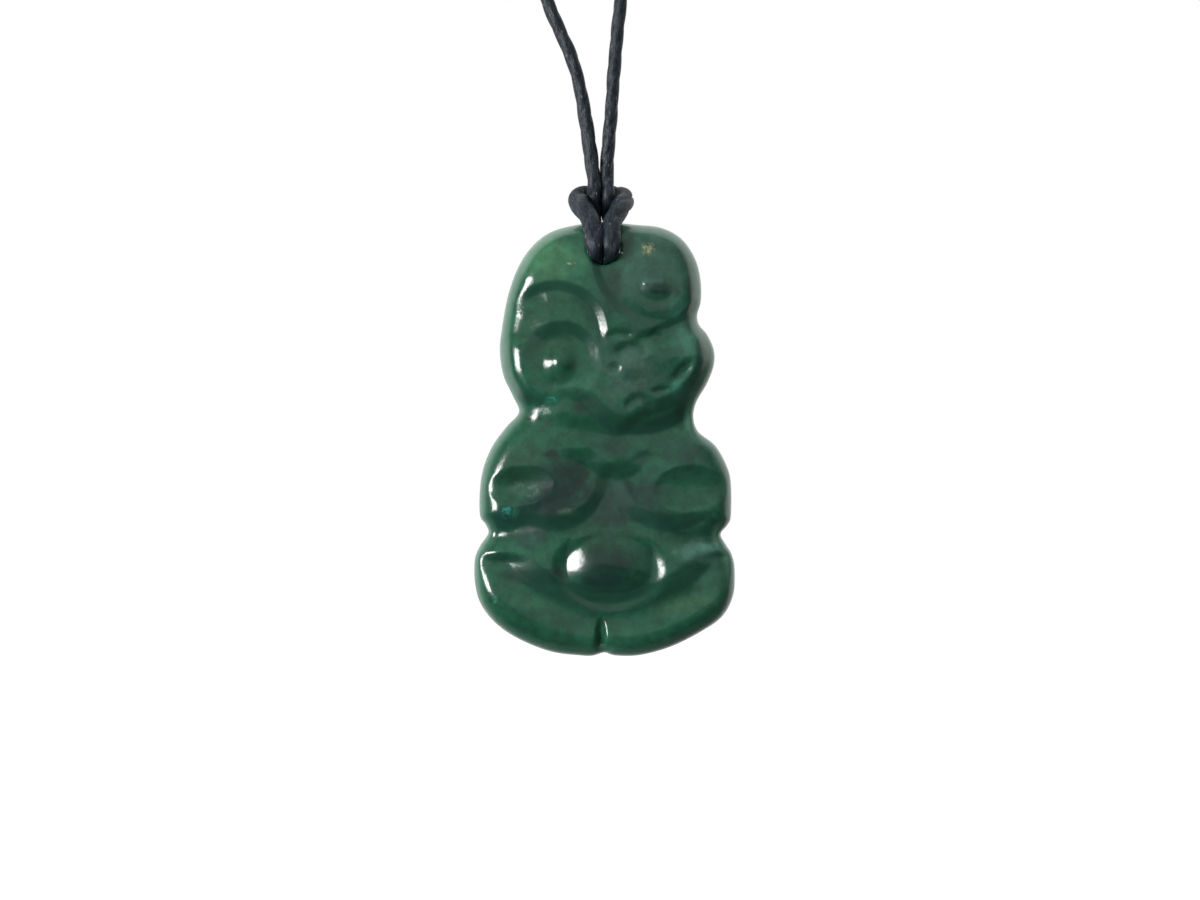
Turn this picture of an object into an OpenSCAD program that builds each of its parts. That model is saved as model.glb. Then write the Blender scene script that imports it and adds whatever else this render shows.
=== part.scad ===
// Carved greenstone figure pendant on a waxed cord, hanging still.
// The loop of cord hangs in the XZ plane from its nape point, which is the origin.
// The carved face looks along -Y, and +Z is up. All sizes are in millimetres.

/* [Stone] */
// Height of the carved figure
stone_height = 45; // [38:0.5:52]
// Width of the carved figure over its knees
stone_width = 27; // [23:0.5:31]
// Depth of the face in front of the stone's widest line, before the carving
face_depth = 2.2; // [1.8:0.1:3]
// How far the middle of the face swells out beyond that depth
face_crown = 0.8; // [0.3:0.1:1.4]
// Distance in from the edge over which it swells out
crown_reach = 7; // [5:0.5:9]
// Depth of the flat back behind the stone's widest line
back_depth = 2.3; // [1.6:0.1:3]
// Radius of the rounded edge on the face side
face_round = 2.3; // [1.5:0.1:3]
// Radius of the rounded edge on the back
back_round = 1.8; // [1:0.1:2.4]

/* [Carving] */
// Height of the relief, on which every carved form is a share
relief = 1; // [0.5:0.05:1.3]
// Strip along the edge over which the carving dies away
relief_fade = 1.3; // [0.6:0.1:2.5]

/* [Cord hole] */
// Diameter of the drilled hole
hole_d = 3.4; // [3:0.1:4]
// Distance from the top of the stone down to the middle of the hole
hole_drop = 2.95; // [2.6:0.05:4]

/* [Cord] */
// Diameter of the cord where nothing presses it
cord_d = 1.3; // [1:0.05:1.4]
// Width of the pressed cord in the hitch, over its plain diameter
pressed_wide = 1.28; // [1:0.02:1.3]
// Thickness of the pressed cord in the hitch, over its plain diameter
pressed_thin = 0.86; // [0.75:0.01:1]
// Distance from the nape down to the top of the stone
drop = 292; // [265:1:320]

/* [Closing knot] */
// Length of the knot that joins the cord's ends
knot_length = 6; // [5:0.25:8]
// Diameter of the knot
knot_d = 3.8; // [3:0.1:5]
// Gap between each end of the cord and the knot
knot_gap = 0.05; // [0.02:0.01:0.3]

/* [Mesh] */
// Points round the stone's outline, an even number
outline_points = 200; // [120:2:220]
// Rings of facets between the rounded edge and the middle of the face
face_rings = 16; // [8:1:18]
// Steps of the smooth outline between two rows of its tables
outline_steps = 8; // [4:1:12]

/* [Hidden] */
$fn = 64;

half_width = stone_width / 2;
// The hole sits this far to the right of the stone's middle line
hole_shift = -0.1;

// Outline of the stone from the middle of its top down each side to the notch between its feet.
// Columns: x as a share of half the width, z as a share of the height.
RIGHT_SIDE = [
    [0, 1], [0.22, 0.994], [0.43, 0.987], [0.588, 0.962], [0.694, 0.917], [0.738, 0.867],
    [0.741, 0.818], [0.713, 0.786], [0.727, 0.763], [0.79, 0.74], [0.84, 0.705], [0.84, 0.67],
    [0.788, 0.628], [0.706, 0.585], [0.683, 0.55], [0.72, 0.517], [0.847, 0.486], [0.93, 0.444],
    [0.97, 0.402], [0.972, 0.325], [0.945, 0.302], [0.892, 0.281], [0.93, 0.258], [0.976, 0.235],
    [1, 0.2], [0.989, 0.141], [0.906, 0.092], [0.741, 0.056], [0.506, 0.021], [0.271, 0.002],
    [0.085, 0.001], [0, 0.008]
];
LEFT_SIDE = [
    [0, 1], [-0.22, 0.993], [-0.41, 0.977], [-0.552, 0.945], [-0.658, 0.899], [-0.74, 0.832],
    [-0.792, 0.748], [-0.804, 0.698], [-0.775, 0.645], [-0.704, 0.599], [-0.658, 0.562],
    [-0.752, 0.529], [-0.857, 0.486], [-0.927, 0.437], [-0.956, 0.388], [-0.957, 0.325],
    [-0.912, 0.303], [-0.893, 0.283], [-0.958, 0.253], [-0.997, 0.222], [-0.995, 0.169],
    [-0.95, 0.12], [-0.83, 0.074], [-0.65, 0.038], [-0.41, 0.01], [-0.18, 0.001],
    [-0.085, 0.001], [0, 0.008]
];

// Carved areas, each an ellipse whose floor is raised or sunk.
// Columns: x of the middle as a share of half the width, z of the middle as a share of the height,
// half length and half width as shares of half the width, turn in degrees, rise in relief heights,
// and the share of the ellipse over which its wall slopes.
AREAS = [
    // Head, standing proud of the chest down to its jaw
    [0.06, 0.82, 1.23, 1.05, 0, 0.4, 0.16],
    // Disc of the right eye
    [0.396, 0.855, 0.292, 0.292, 0, 0.24, 0.25],
    // The two openings of the mouth
    [0.599, 0.657, 0.146, 0.065, 45, -0.34, 0.8],
    [0.419, 0.611, 0.084, 0.04, 10, -0.22, 0.8],
    // Valleys between elbow and knee
    [0.772, 0.272, 0.4, 0.184, -4, -0.85, 1],
    [-0.78, 0.283, 0.445, 0.169, 8, -0.55, 1],
    // Bowl round the belly, and the belly's wall
    [0.058, 0.226, 0.476, 0.384, 0, -0.6, 0.5],
    [0.035, 0.219, 0.34, 0.24, 0, 0.15, 0.3],
    // Groove between the feet
    [-0.03, 0.046, 0.184, 0.054, 88, -0.7, 1]
];

// Carved domes and bowls, each an ellipse that is steepest at its edge.
// Columns: the first six of the areas.
DOMES = [
    // Left eye bowl and pupil
    [-0.326, 0.68, 0.307, 0.307, 0, -0.52],
    [-0.342, 0.673, 0.123, 0.123, 0, 0.48],
    // Right eye bowl and pupil
    [0.396, 0.855, 0.246, 0.246, 0, -0.2],
    [0.38, 0.843, 0.11, 0.095, 0, 0.4],
    // Lobes of the nose, its left nostril, the cheek and the tongue
    [0.196, 0.664, 0.115, 0.1, 0, 0.14],
    [0.349, 0.7, 0.1, 0.08, 0, 0.12],
    [0.073, 0.661, 0.046, 0.038, 0, -0.18],
    [0.657, 0.717, 0.184, 0.23, 0, 0.2],
    [0.265, 0.562, 0.1, 0.065, 0, 0.16],
    // Hollows inside the arms
    [0.657, 0.387, 0.284, 0.177, 2, -0.6],
    [-0.626, 0.394, 0.223, 0.138, 8, -0.5],
    // Belly
    [0.035, 0.219, 0.335, 0.235, 0, 1.25]
];

// Carved strokes, each a ridge or a groove along part of a circle.
// Columns: x and z of the circle's middle as in the areas, radius as a share of half the width,
// angles where the stroke starts and ends, half width as a share of half the width,
// and rise in relief heights.
STROKES = [
    // Fold over each lobe of the nose, and over the tongue
    [0.21, 0.673, 0.125, 50, 135, 0.06, -0.26],
    [0.349, 0.703, 0.11, 55, 135, 0.05, -0.22],
    [0.119, 0.7, 0.131, 70, 120, 0.05, -0.2],
    [0.265, 0.565, 0.09, 35, 150, 0.05, -0.26],
    // Groove under the left eye, and the valley of the neck
    [-0.403, 0.751, 0.576, 232, 278, 0.092, -0.3],
    [0.058, 0.82, 1.114, 222, 318, 0.215, -0.12],
    // Edge of each forearm on the chest
    [0.488, 0.429, 0.353, 205, 275, 0.12, 0.16],
    [-0.396, 0.424, 0.338, -95, -25, 0.12, 0.16],
    // Groove above each leg, with the leg's crest under it
    [0.027, 0.417, 0.98, 215, 267, 0.18, -0.6],
    [0.058, 0.417, 0.98, 273, 325, 0.18, -0.6],
    [-0.035, 0.345, 0.935, 222, 268, 0.22, 0.15],
    [0.119, 0.345, 0.935, 272, 318, 0.22, 0.15]
];

// Carved steps along part of a circle, whose far side runs back to level.
// Columns: the first five of the strokes, breadths of the step's slope and of its run back to level
// as shares of half the width, rise in relief heights, the side on which it lies (1 outside the
// circle, -1 inside it), and the breadth of its run out past the angles as a share of half the width.
STEPS = [
    // Left brow and right brow
    [-0.373, 0.74, 0.4, 5, 155, 0.077, 2, -0.36, -1, 0.4],
    [0.449, 0.919, 0.56, 150, 250, 0.08, 2, -0.36, -1, 0.4],
    // Under the right eye, then the lower lip and the jaw
    [0.396, 0.855, 0.285, 290, 345, 0.07, 0.2, -0.3, 1, 0.06],
    [0.288, 0.71, 0.415, -72, -8, 0.1, 0.3, -0.6, 1, 0.2],
    [0.28, 0.668, 0.41, 205, 320, 0.13, 0.6, -0.55, 1, 0.15],
    // From each forearm and from the chest down to the waist
    [0.488, 0.429, 0.36, 195, 275, 0.16, 0.6, -0.5, 1, 0.15],
    [-0.396, 0.424, 0.345, -95, -15, 0.16, 0.6, -0.5, 1, 0.15],
    [0.088, 0.5, 0.16, 225, 315, 0.13, 0.3, -0.4, 1, 0.15]
];

// Rings of the rounded edges, as shares of the edge's radius counted in from the outline
FACE_EDGE = [0.04, 0.13, 0.26, 0.42, 0.62, 0.82, 1];
BACK_EDGE = [0.05, 0.18, 0.38, 0.66, 1];
// The rings close in on a middle line with this share of the stone's height and its middle
middle_share = 0.6;
middle_z = 0.47;
// The innermost ring stops at this share of the way out from the middle line
inner_ring = 0.04;

// Route of the cord round the neck and down the chest, with points chosen by hand.
// Columns: x, y, z, and how far the cord is pressed flat.
LEFT_RUN = [
    [-17, 0, -1, 0], [-30, 0, -6.5, 0], [-41.5, 0, -16, 0], [-50.5, 0, -29, 0], [-55.5, 0, -42, 0],
    [-57, 0, -56, 0], [-55.4, 0, -70, 0], [-51, 0, -90, 0], [-35, 0, -163, 0]
];
RIGHT_RUN = [
    [17, 0, -1, 0], [30, 0, -6.5, 0], [41.5, 0, -16, 0], [50.5, 0, -29, 0], [55.5, 0, -42, 0],
    [57, 0, -56, 0], [55.4, 0, -70, 0], [50.8, 0, -90, 0], [29.7, 0, -163, 0]
];
// The route goes on down to the hitch.
// Columns: x, y, height over the top of the stone, and how far the cord is pressed flat.
LEFT_END = [
    [-16, 0, 54, 0], [-9.8, 0, 34, 0], [-6, 0, 23, 0], [-3.4, 0, 16.9, 0], [-2.2, 0, 12, 0]
];
RIGHT_END = [
    [7.2, 0, 54, 0], [3.2, 0, 34, 0], [1.7, 0, 23, 0], [1, 0, 16, 0], [0.7, 0, 12, 0]
];
// One half of the hitch, from the strand down the back, through the hole and up to the bight.
// Columns: distance out from the hitch's own line, y, height over the top of the stone, pressed flat.
HITCH_HALF = [
    [0.9, 0, 6.4, 0], [0.76, -0.05, 4.8, 0], [0.74, -0.1, 3.4, 0.1], [0.74, 0.1, 2.35, 0.2],
    [0.78, 0.95, 1.3, 0.2], [0.8, 1.9, 0.45, 0.2], [0.8, 2.65, -0.35, 0.2], [0.8, 3.05, -1.2, 0.2],
    [0.8, 3.1, -2, 0.2], [0.79, 2.85, -2.65, 0.2], [0.78, 2.2, -3.02, 0.2], [0.78, 1, -3.18, 0.2],
    [0.77, -1, -3.36, 0.2], [0.77, -2.6, -3.5, 0.2], [0.79, -3.3, -3.4, 0.3], [0.83, -3.68, -2.95, 0.6],
    [0.87, -3.65, -2.2, 1], [0.93, -3.25, -1.15, 1], [1.14, -2.6, -0.1, 1], [1.7, -1.75, 0.95, 1],
    [2.22, -0.7, 1.8, 1], [2.42, 0.3, 2.35, 1], [2.05, 1.2, 2.75, 1], [1.1, 1.8, 2.9, 1]
];
BIGHT = [0, 1.9, 2.93, 1];
// The hitch leans to the left as it rises
hitch_lean = 0.045;
cord_sides = 8;

// Smooth step from 0 to 1
function ease(t) = let (c = min(max(t, 0), 1)) c * c * (3 - 2 * c);

// Point on the smooth curve from b to c, with a and d as its outer neighbours
function curve_point(a, b, c, d, t) =
    0.5 * (2 * b + (c - a) * t + (2 * a - 5 * b + 4 * c - d) * t * t + (3 * b - a - 3 * c + d) * t * t * t);

// A side of the outline as a fine polyline; before and after are its neighbours across the ends
function fine_side(side, before, after) =
    let (n = len(side), all = concat([before], side, [after]))
    [
        for (i = [0:n - 2], k = [0:outline_steps - 1])
            curve_point(all[i], all[i + 1], all[i + 2], all[i + 3], k / outline_steps),
        side[n - 1]
    ];

// Distance run along a polyline at each of its points
function run_lengths(line) =
    [
        for (i = 0, s = 0; i < len(line);
            s = s + (i + 1 < len(line) ? norm(line[i + 1] - line[i]) : 0), i = i + 1) s
    ];

// Evenly spaced points along a polyline, count steps from end to end
function even_points(line, count) =
    let (
        s = run_lengths(line),
        xs = [for (i = [0:len(line) - 1]) [s[i], line[i].x]],
        zs = [for (i = [0:len(line) - 1]) [s[i], line[i].y]],
        total = s[len(s) - 1]
    )
    [for (k = [0:count]) [lookup(total * k / count, xs), lookup(total * k / count, zs)]];

// Shares of the outline tables turned into millimetres
function sized(side) = [for (p = side) [p.x * half_width, p.y * stone_height]];

// The whole outline, down the right side and up the left one
function outline() =
    let (
        half = outline_points / 2,
        right = sized(RIGHT_SIDE),
        left = sized(LEFT_SIDE),
        r = even_points(fine_side(right, left[1], left[len(left) - 2]), half),
        l = even_points(fine_side(left, right[1], right[len(right) - 2]), half)
    )
    [for (i = [0:half]) r[i], for (i = [half - 1:-1:1]) l[i]];

OUTLINE = outline();

// Distance from a point to the outline
function edge_distance(p) = min([for (q = OUTLINE) norm(p - q)]);

// Height of a quarter-round edge of radius 1 at distance t from its rim
function quarter(t) = let (c = 1 - min(max(t, 0), 1)) sqrt(1 - c * c);

AREAS_MM = [
    for (a = AREAS)
        [a[0] * half_width, a[1] * stone_height, a[2] * half_width, a[3] * half_width, a[4], a[5], a[6]]
];
DOMES_MM = [
    for (d = DOMES)
        [d[0] * half_width, d[1] * stone_height, d[2] * half_width, d[3] * half_width, d[4], d[5]]
];
STROKES_MM = [
    for (s = STROKES)
        [s[0] * half_width, s[1] * stone_height, s[2] * half_width, (s[3] + s[4]) / 2, (s[4] - s[3]) / 2,
            s[5] * half_width, s[6]]
];
STEPS_MM = [
    for (s = STEPS)
        [s[0] * half_width, s[1] * stone_height, s[2] * half_width, (s[3] + s[4]) / 2, (s[4] - s[3]) / 2,
            s[5] * half_width, s[6] * half_width, s[7], s[8], s[9] * half_width]
];

// Distance of a point out from an ellipse's middle, 1 on its edge
function reach(a, p) =
    let (
        d = p - [a[0], a[1]],
        u = (d.x * cos(a[4]) + d.y * sin(a[4])) / a[2],
        v = (d.y * cos(a[4]) - d.x * sin(a[4])) / a[3]
    )
    norm([u, v]);

// Rise of one carved area at a point
function area_rise(a, p) = a[5] * ease((1 - reach(a, p)) / a[6]);

// Rise of one carved dome at a point
function dome_rise(a, p) = let (r = reach(a, p)) a[5] * max(1 - r * r, 0);

// Distance from a point to a stroke's own line
function stroke_distance(s, d, off) =
    abs(off) <= s[4] ? abs(norm(d) - s[2])
    : let (end = s[3] + sign(off) * s[4]) norm(d - s[2] * [cos(end), sin(end)]);

// Rise of one carved stroke at a point
function stroke_rise(s, p) =
    let (d = p - [s[0], s[1]])
    abs(norm(d) - s[2]) >= s[5] ? 0
    : let (
        turn = atan2(d.y, d.x) - s[3],
        off = turn - 360 * round(turn / 360),
        away = stroke_distance(s, d, off)
    )
    away >= s[5] ? 0 : s[6] * (1 + cos(180 * away / s[5])) / 2;

// Rise of one carved step at a point
function step_rise(s, p) =
    let (
        d = p - [s[0], s[1]],
        past = (norm(d) - s[2]) * s[8],
        beyond = s[2] * cos(s[4]) - norm(d) * cos(atan2(d.y, d.x) - s[3])
    )
    s[7] * ease(past / s[5]) * (1 - ease((past - s[5]) / s[6])) * (1 - ease(beyond / s[9]));

// Sum of a list of numbers
function summed(list) = [for (v = list) 1] * list;

// All the carving at a point
function carving(p) =
    relief * (
        summed([for (a = AREAS_MM) area_rise(a, p)])
        + summed([for (d = DOMES_MM) dome_rise(d, p)])
        + summed([for (s = STROKES_MM) stroke_rise(s, p)])
        + summed([for (s = STEPS_MM) step_rise(s, p)])
    );

// Depth of the face at a point
function face_at(p) =
    let (d = edge_distance(p))
    face_depth * quarter(d / face_round) + face_crown * ease(d / crown_reach)
        + carving(p) * ease(d / relief_fade);

// Depth of the back at a point
function back_at(p) = back_depth * quarter(edge_distance(p) / back_round);

// Point of a ring: the share of the way from the middle line out to outline point i
function ring_point(i, share) =
    let (
        rim = OUTLINE[i],
        middle = middle_z * stone_height,
        root = [0, middle + middle_share * (rim.y - middle)]
    )
    root + share * (rim - root);

// Usual distance from the middle line out to the outline
spoke = 0.9 * half_width;
// Rings of the face from the inside out, and of the back from the outside in
face_shares = concat(
    [for (k = [0:face_rings - 1]) inner_ring + (1 - face_round / spoke - inner_ring) * k / face_rings],
    [for (k = [len(FACE_EDGE) - 1:-1:0]) 1 - FACE_EDGE[k] * face_round / spoke]
);
back_shares = [for (e = BACK_EDGE) 1 - e * back_round / spoke];

function face_ring(share) =
    [for (i = [0:outline_points - 1]) let (p = ring_point(i, share)) [p.x, -face_at(p), p.y]];
function back_ring(share) =
    [for (i = [0:outline_points - 1]) let (p = ring_point(i, share)) [p.x, back_at(p), p.y]];
function rim_ring() = [for (p = OUTLINE) [p.x, 0, p.y]];

// Triangles between two rings of n points, the first starting at index a and the second at b
function band(a, b, n) = [
    for (i = [0:n - 1])
        let (j = (i + 1) % n)
        each [[a + i, a + j, b + j], [a + i, b + j, b + i]]
];

// Triangles across a closed ring of n points, from its right side to its left
function zip(a, n) = [
    [a, a + n - 1, a + 1],
    for (i = [1:n / 2 - 2]) each [[a + i, a + n - i, a + n - i - 1], [a + i, a + n - i - 1, a + i + 1]],
    [a + n / 2 - 1, a + n / 2 + 1, a + n / 2]
];

function flipped(faces) = [for (f = faces) [f[2], f[1], f[0]]];

// Carved stone without its hole, its foot at z = 0
module carved_stone() {
    n = outline_points;
    rings = concat(
        [for (s = face_shares) face_ring(s)],
        [rim_ring()],
        [for (s = back_shares) back_ring(s)]
    );
    last = len(rings) - 1;
    polyhedron(
        points = [for (r = rings) each r],
        faces = concat(
            flipped(zip(0, n)),
            [for (k = [0:last - 1]) each flipped(band(k * n, (k + 1) * n, n))],
            zip(last * n, n)
        ),
        convexity = 6
    );
}

// The stone hangs with its top at the drop below the nape
module pendant() {
    through = 4 * (face_depth + back_depth);
    color([0.2, 0.39, 0.3])
        translate([0, 0, -drop - stone_height])
            difference() {
                carved_stone();
                translate([hole_shift, through / 2, stone_height - hole_drop])
                    rotate([90, 0, 0])
                        cylinder(h = through, d = hole_d);
            }
}

// A point of the hitch on its left side (-1) or right side (+1)
function hitch_point(h, side) = [
    hole_shift - hitch_lean * (h[2] + hole_drop) + side * h[0],
    h[1],
    h[2] - drop,
    h[3]
];

// The cord leaves the knot level, on the knot's middle line
function knot_exit(side) = [side * (knot_length / 2 + knot_gap), 0, knot_d / 2, 0];

function reversed(list) = [for (i = [len(list) - 1:-1:0]) list[i]];

// Points whose heights are over the top of the stone, set below the nape
function lowered(points) = [for (p = points) [p[0], p[1], p[2] - drop, p[3]]];

ROUTE = concat(
    [knot_exit(-1)],
    LEFT_RUN,
    lowered(LEFT_END),
    [for (h = HITCH_HALF) hitch_point(h, -1)],
    [hitch_point(BIGHT, 1)],
    reversed([for (h = HITCH_HALF) hitch_point(h, 1)]),
    reversed(lowered(RIGHT_END)),
    reversed(RIGHT_RUN),
    [knot_exit(1)]
);

function unit(v) = v / norm(v);
function place(k) = [ROUTE[k].x, ROUTE[k].y, ROUTE[k].z];

// Direction of the cord at each point of its route; it leaves and meets the knot level
function direction(k) =
    k == 0 ? [-1, 0, 0]
    : k == len(ROUTE) - 1 ? [-1, 0, 0]
    : unit(unit(place(k + 1) - place(k)) + unit(place(k) - place(k - 1)));

DIRECTIONS = [for (k = [0:len(ROUTE) - 1]) direction(k)];

// A side vector carried along the cord without twisting
function carried(side, d) = unit(side - (side * d) * d);
SIDES = [
    for (k = 0, side = [0, 0, 1]; k < len(ROUTE);
        k = k + 1, side = k < len(ROUTE) ? carried(side, DIRECTIONS[k]) : side) side
];

// Ring of the cord round point k of its route
function cord_ring(k) =
    let (
        wide = cord_d / 2 * (1 + (pressed_wide - 1) * ROUTE[k][3]),
        thin = cord_d / 2 * (1 + (pressed_thin - 1) * ROUTE[k][3]),
        u = SIDES[k],
        v = cross(DIRECTIONS[k], u)
    )
    [
        for (i = [0:cord_sides - 1])
            let (a = 360 * (i + 0.5) / cord_sides)
            place(k) + wide * cos(a) * u + thin * sin(a) * v
    ];

module cord() {
    n = cord_sides;
    last = len(ROUTE) - 1;
    color([0.13, 0.14, 0.16])
        polyhedron(
            points = [for (k = [0:last]) each cord_ring(k)],
            faces = concat(
                [[for (i = [0:n - 1]) i]],
                [for (k = [0:last - 1]) each flipped(band(k * n, (k + 1) * n, n))],
                [[for (i = [n - 1:-1:0]) last * n + i]]
            ),
            convexity = 10
        );
}

// The two ends of the cord are held in one plain barrel knot
module closing_knot() {
    shoulder = knot_d / 4;
    color([0.11, 0.12, 0.14])
        translate([-knot_length / 2, 0, knot_d / 2])
            rotate([0, 90, 0])
                rotate_extrude()
                    polygon([
                        [0, 0],
                        [knot_d / 2 - shoulder, 0],
                        for (a = [15:15:90]) [knot_d / 2 - shoulder * (1 - sin(a)), shoulder * (1 - cos(a))],
                        for (a = [90:-15:15])
                            [knot_d / 2 - shoulder * (1 - sin(a)), knot_length - shoulder * (1 - cos(a))],
                        [knot_d / 2 - shoulder, knot_length],
                        [0, knot_length]
                    ]);
}

pendant();
cord();
closing_knot();
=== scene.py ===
"""Finish of a carved greenstone figure pendant on a waxed cord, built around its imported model."""

import logging
import math
from collections.abc import Callable
from dataclasses import dataclass, field
from enum import Enum

import bmesh
import bpy
import numpy as np
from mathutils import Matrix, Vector


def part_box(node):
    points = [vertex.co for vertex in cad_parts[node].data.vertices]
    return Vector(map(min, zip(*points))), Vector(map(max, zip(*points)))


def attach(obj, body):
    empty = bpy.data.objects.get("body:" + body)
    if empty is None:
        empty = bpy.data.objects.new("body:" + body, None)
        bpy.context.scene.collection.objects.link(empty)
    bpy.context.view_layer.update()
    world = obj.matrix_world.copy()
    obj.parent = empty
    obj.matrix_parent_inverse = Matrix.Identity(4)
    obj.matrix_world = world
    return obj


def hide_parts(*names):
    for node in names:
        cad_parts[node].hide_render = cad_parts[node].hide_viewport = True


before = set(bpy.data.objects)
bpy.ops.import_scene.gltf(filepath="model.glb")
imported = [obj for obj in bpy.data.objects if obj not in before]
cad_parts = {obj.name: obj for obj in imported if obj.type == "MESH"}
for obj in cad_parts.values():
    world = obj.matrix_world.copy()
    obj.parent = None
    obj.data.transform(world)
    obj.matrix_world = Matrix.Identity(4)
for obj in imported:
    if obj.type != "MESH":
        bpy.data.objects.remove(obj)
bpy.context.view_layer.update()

LOG = logging.getLogger("pendant")
MM = 0.001
WELD = 1e-6
FINE_WELD = 1e-7
# Diameter of the stone's cord hole, and its middle's drop from the stone's top and shift to the right
HOLE_D = 3.4 * MM
HOLE_DROP = 2.95 * MM
HOLE_SHIFT = -0.1 * MM
Points = np.ndarray
Shaper = Callable[[Points, Points], Points]
Value = bpy.types.NodeSocket | float | tuple[float, ...]
Colour = tuple[float, float, float]
# The two ends of a span, a noise's scale, detail and roughness, and a ramp's ends and its values there
Span = tuple[float, float]
Noise = tuple[float, float, float]
Ramp = tuple[float, float, float, float]


def ease(share: Points) -> Points:
    """Return a smooth step from 0 to 1 over shares from 0 to 1."""
    held = np.clip(share, 0.0, 1.0)
    return held * held * (3.0 - 2.0 * held)


def ease_over(values: Points, span: Span) -> Points:
    """Return a smooth step from 0 to 1 as the values run over a span."""
    return ease((values - span[0]) / (span[1] - span[0]))


def quarter(share: Points) -> Points:
    """Return the height of a quarter-round edge of radius 1 at shares in from its rim."""
    left = 1.0 - np.clip(share, 0.0, 1.0)
    return np.sqrt(1.0 - left * left)


def cut(share: Points, soft: float = 0.22) -> Points:
    """Return an even slope from 0 to 1 over shares from 0 to 1, rounded at its two ends.

    Args:
        share: Shares of the slope.
        soft: Share of the slope that each rounded end takes.

    Returns:
        The height at each share.
    """
    held = np.clip(share, 0.0, 1.0)
    near = np.minimum(held, 1.0 - held)
    rounded = near**2 / (2.0 * soft * (1.0 - soft))
    even = (near - soft / 2.0) / (1.0 - soft)
    height = np.where(near < soft, rounded, even)
    return np.where(held > 0.5, 1.0 - height, height)


def smooth_curve(points: Points, steps: int) -> Points:
    """Run a smooth curve through points.

    Args:
        points: One row per point; the first and last only steer the curve's ends.
        steps: Steps between two neighbouring points.

    Returns:
        The curve's points, from the second row of points to the last but one.
    """
    before, here, there, after = points[:-3], points[1:-2], points[2:-1], points[3:]
    rows = []
    for step in np.arange(steps) / steps:
        rows.append(0.5 * (
            2 * here + (there - before) * step
            + (2 * before - 5 * here + 4 * there - after) * step**2
            + (3 * here - before - 3 * there + after) * step**3
        ))
    curve = np.stack(rows, axis=1).reshape(-1, points.shape[1])
    return np.vstack([curve, points[-2]])


def run_lengths(line: Points) -> Points:
    """Return the distance run along a line at each of its points, by the first three columns."""
    steps = np.linalg.norm(np.diff(line[:, :3], axis=0), axis=1)
    return np.concatenate([[0.0], np.cumsum(steps)])


def resample(line: Points, places: Points) -> Points:
    """Return the points of a line at the given distances along it, with the line's own columns."""
    run = run_lengths(line)
    return np.stack([np.interp(places, run, line[:, k]) for k in range(line.shape[1])], axis=1)


def finish_mesh(mesh: bmesh.types.BMesh, name: str, weld: float = WELD) -> bpy.types.Object:
    """Weld and turn a bmesh outwards, and make it an object at the origin.

    Args:
        mesh: The shape, which is freed here.
        name: The object's name.
        weld: Vertices closer than this become one.

    Returns:
        The new object, linked to the scene, with smooth faces.
    """
    bmesh.ops.remove_doubles(mesh, verts=mesh.verts, dist=weld)
    bmesh.ops.dissolve_degenerate(mesh, edges=mesh.edges, dist=weld / 10)
    bmesh.ops.recalc_face_normals(mesh, faces=mesh.faces)
    for face in mesh.faces:
        face.smooth = True
    data = bpy.data.meshes.new(name)
    mesh.to_mesh(data)
    mesh.free()
    made = bpy.data.objects.new(name, data)
    bpy.context.scene.collection.objects.link(made)
    return made


@dataclass(frozen=True)
class Field:
    """Points of the stone's face, with the sizes that shares are taken of.

    x is to the right of the stone's middle and z is over its foot, both in metres.
    """

    x: Points
    z: Points
    half_width: float
    height: float

    def offset(self, x: float, z: float) -> tuple[Points, Points]:
        """Return how far across and up each point lies from a place in shares, in half widths."""
        return self.x / self.half_width - x, (self.z - z * self.height) / self.half_width


@dataclass(frozen=True)
class Ellipse:
    """An ellipse on the face, placed in shares.

    x and both half lengths are shares of half the stone's width, z is a share of its height, turn is
    in degrees and rise is in relief heights.
    """

    x: float
    z: float
    length: float
    width: float
    turn: float
    rise: float

    def reach(self, face: Field) -> Points:
        """Return how far out each point lies.

        Args:
            face: The points.

        Returns:
            0 at the ellipse's middle and 1 on its edge.
        """
        turn = math.radians(self.turn)
        across, up = face.offset(self.x, self.z)
        along = across * math.cos(turn) + up * math.sin(turn)
        aside = up * math.cos(turn) - across * math.sin(turn)
        return np.hypot(along / self.length, aside / self.width)


@dataclass(frozen=True)
class Area(Ellipse):
    """A raised or sunk ellipse with a level middle. wall is the share of it that slopes."""

    wall: float

    def rise_at(self, face: Field) -> Points:
        """Return the rise at each point, in relief heights."""
        return self.rise * ease((1.0 - self.reach(face)) / self.wall)


@dataclass(frozen=True)
class Dome(Ellipse):
    """A raised bump or a sunk bowl, steepest at its edge."""

    def rise_at(self, face: Field) -> Points:
        """Return the rise at each point, in relief heights."""
        return self.rise * np.clip(1.0 - self.reach(face) ** 2, 0.0, 1.0)


@dataclass(frozen=True)
class Cushion(Dome):
    """A dome with straighter sides and fuller corners than an ellipse, which has a fullness of 2."""

    fullness: float = 2.8

    def reach(self, face: Field) -> Points:
        """Return how far out each point lies.

        Args:
            face: The points.

        Returns:
            0 at the middle and 1 on the edge.
        """
        across, up = face.offset(self.x, self.z)
        power = self.fullness
        return (np.abs(across / self.length) ** power + np.abs(up / self.width) ** power) ** (1 / power)


@dataclass(frozen=True)
class Arc:
    """A part of a circle on the face, from start to end degrees, placed as an ellipse is."""

    x: float
    z: float
    radius: float
    start: float
    end: float

    def turn_off(self, face: Field) -> tuple[Points, Points]:
        """Return where each point lies, seen from the circle's middle.

        Args:
            face: The points.

        Returns:
            The distances from that middle, and the degrees off the arc's middle.
        """
        across, up = face.offset(self.x, self.z)
        middle = (self.start + self.end) / 2
        off = (np.degrees(np.arctan2(up, across)) - middle + 540.0) % 360.0 - 180.0
        return np.hypot(across, up), off


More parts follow.
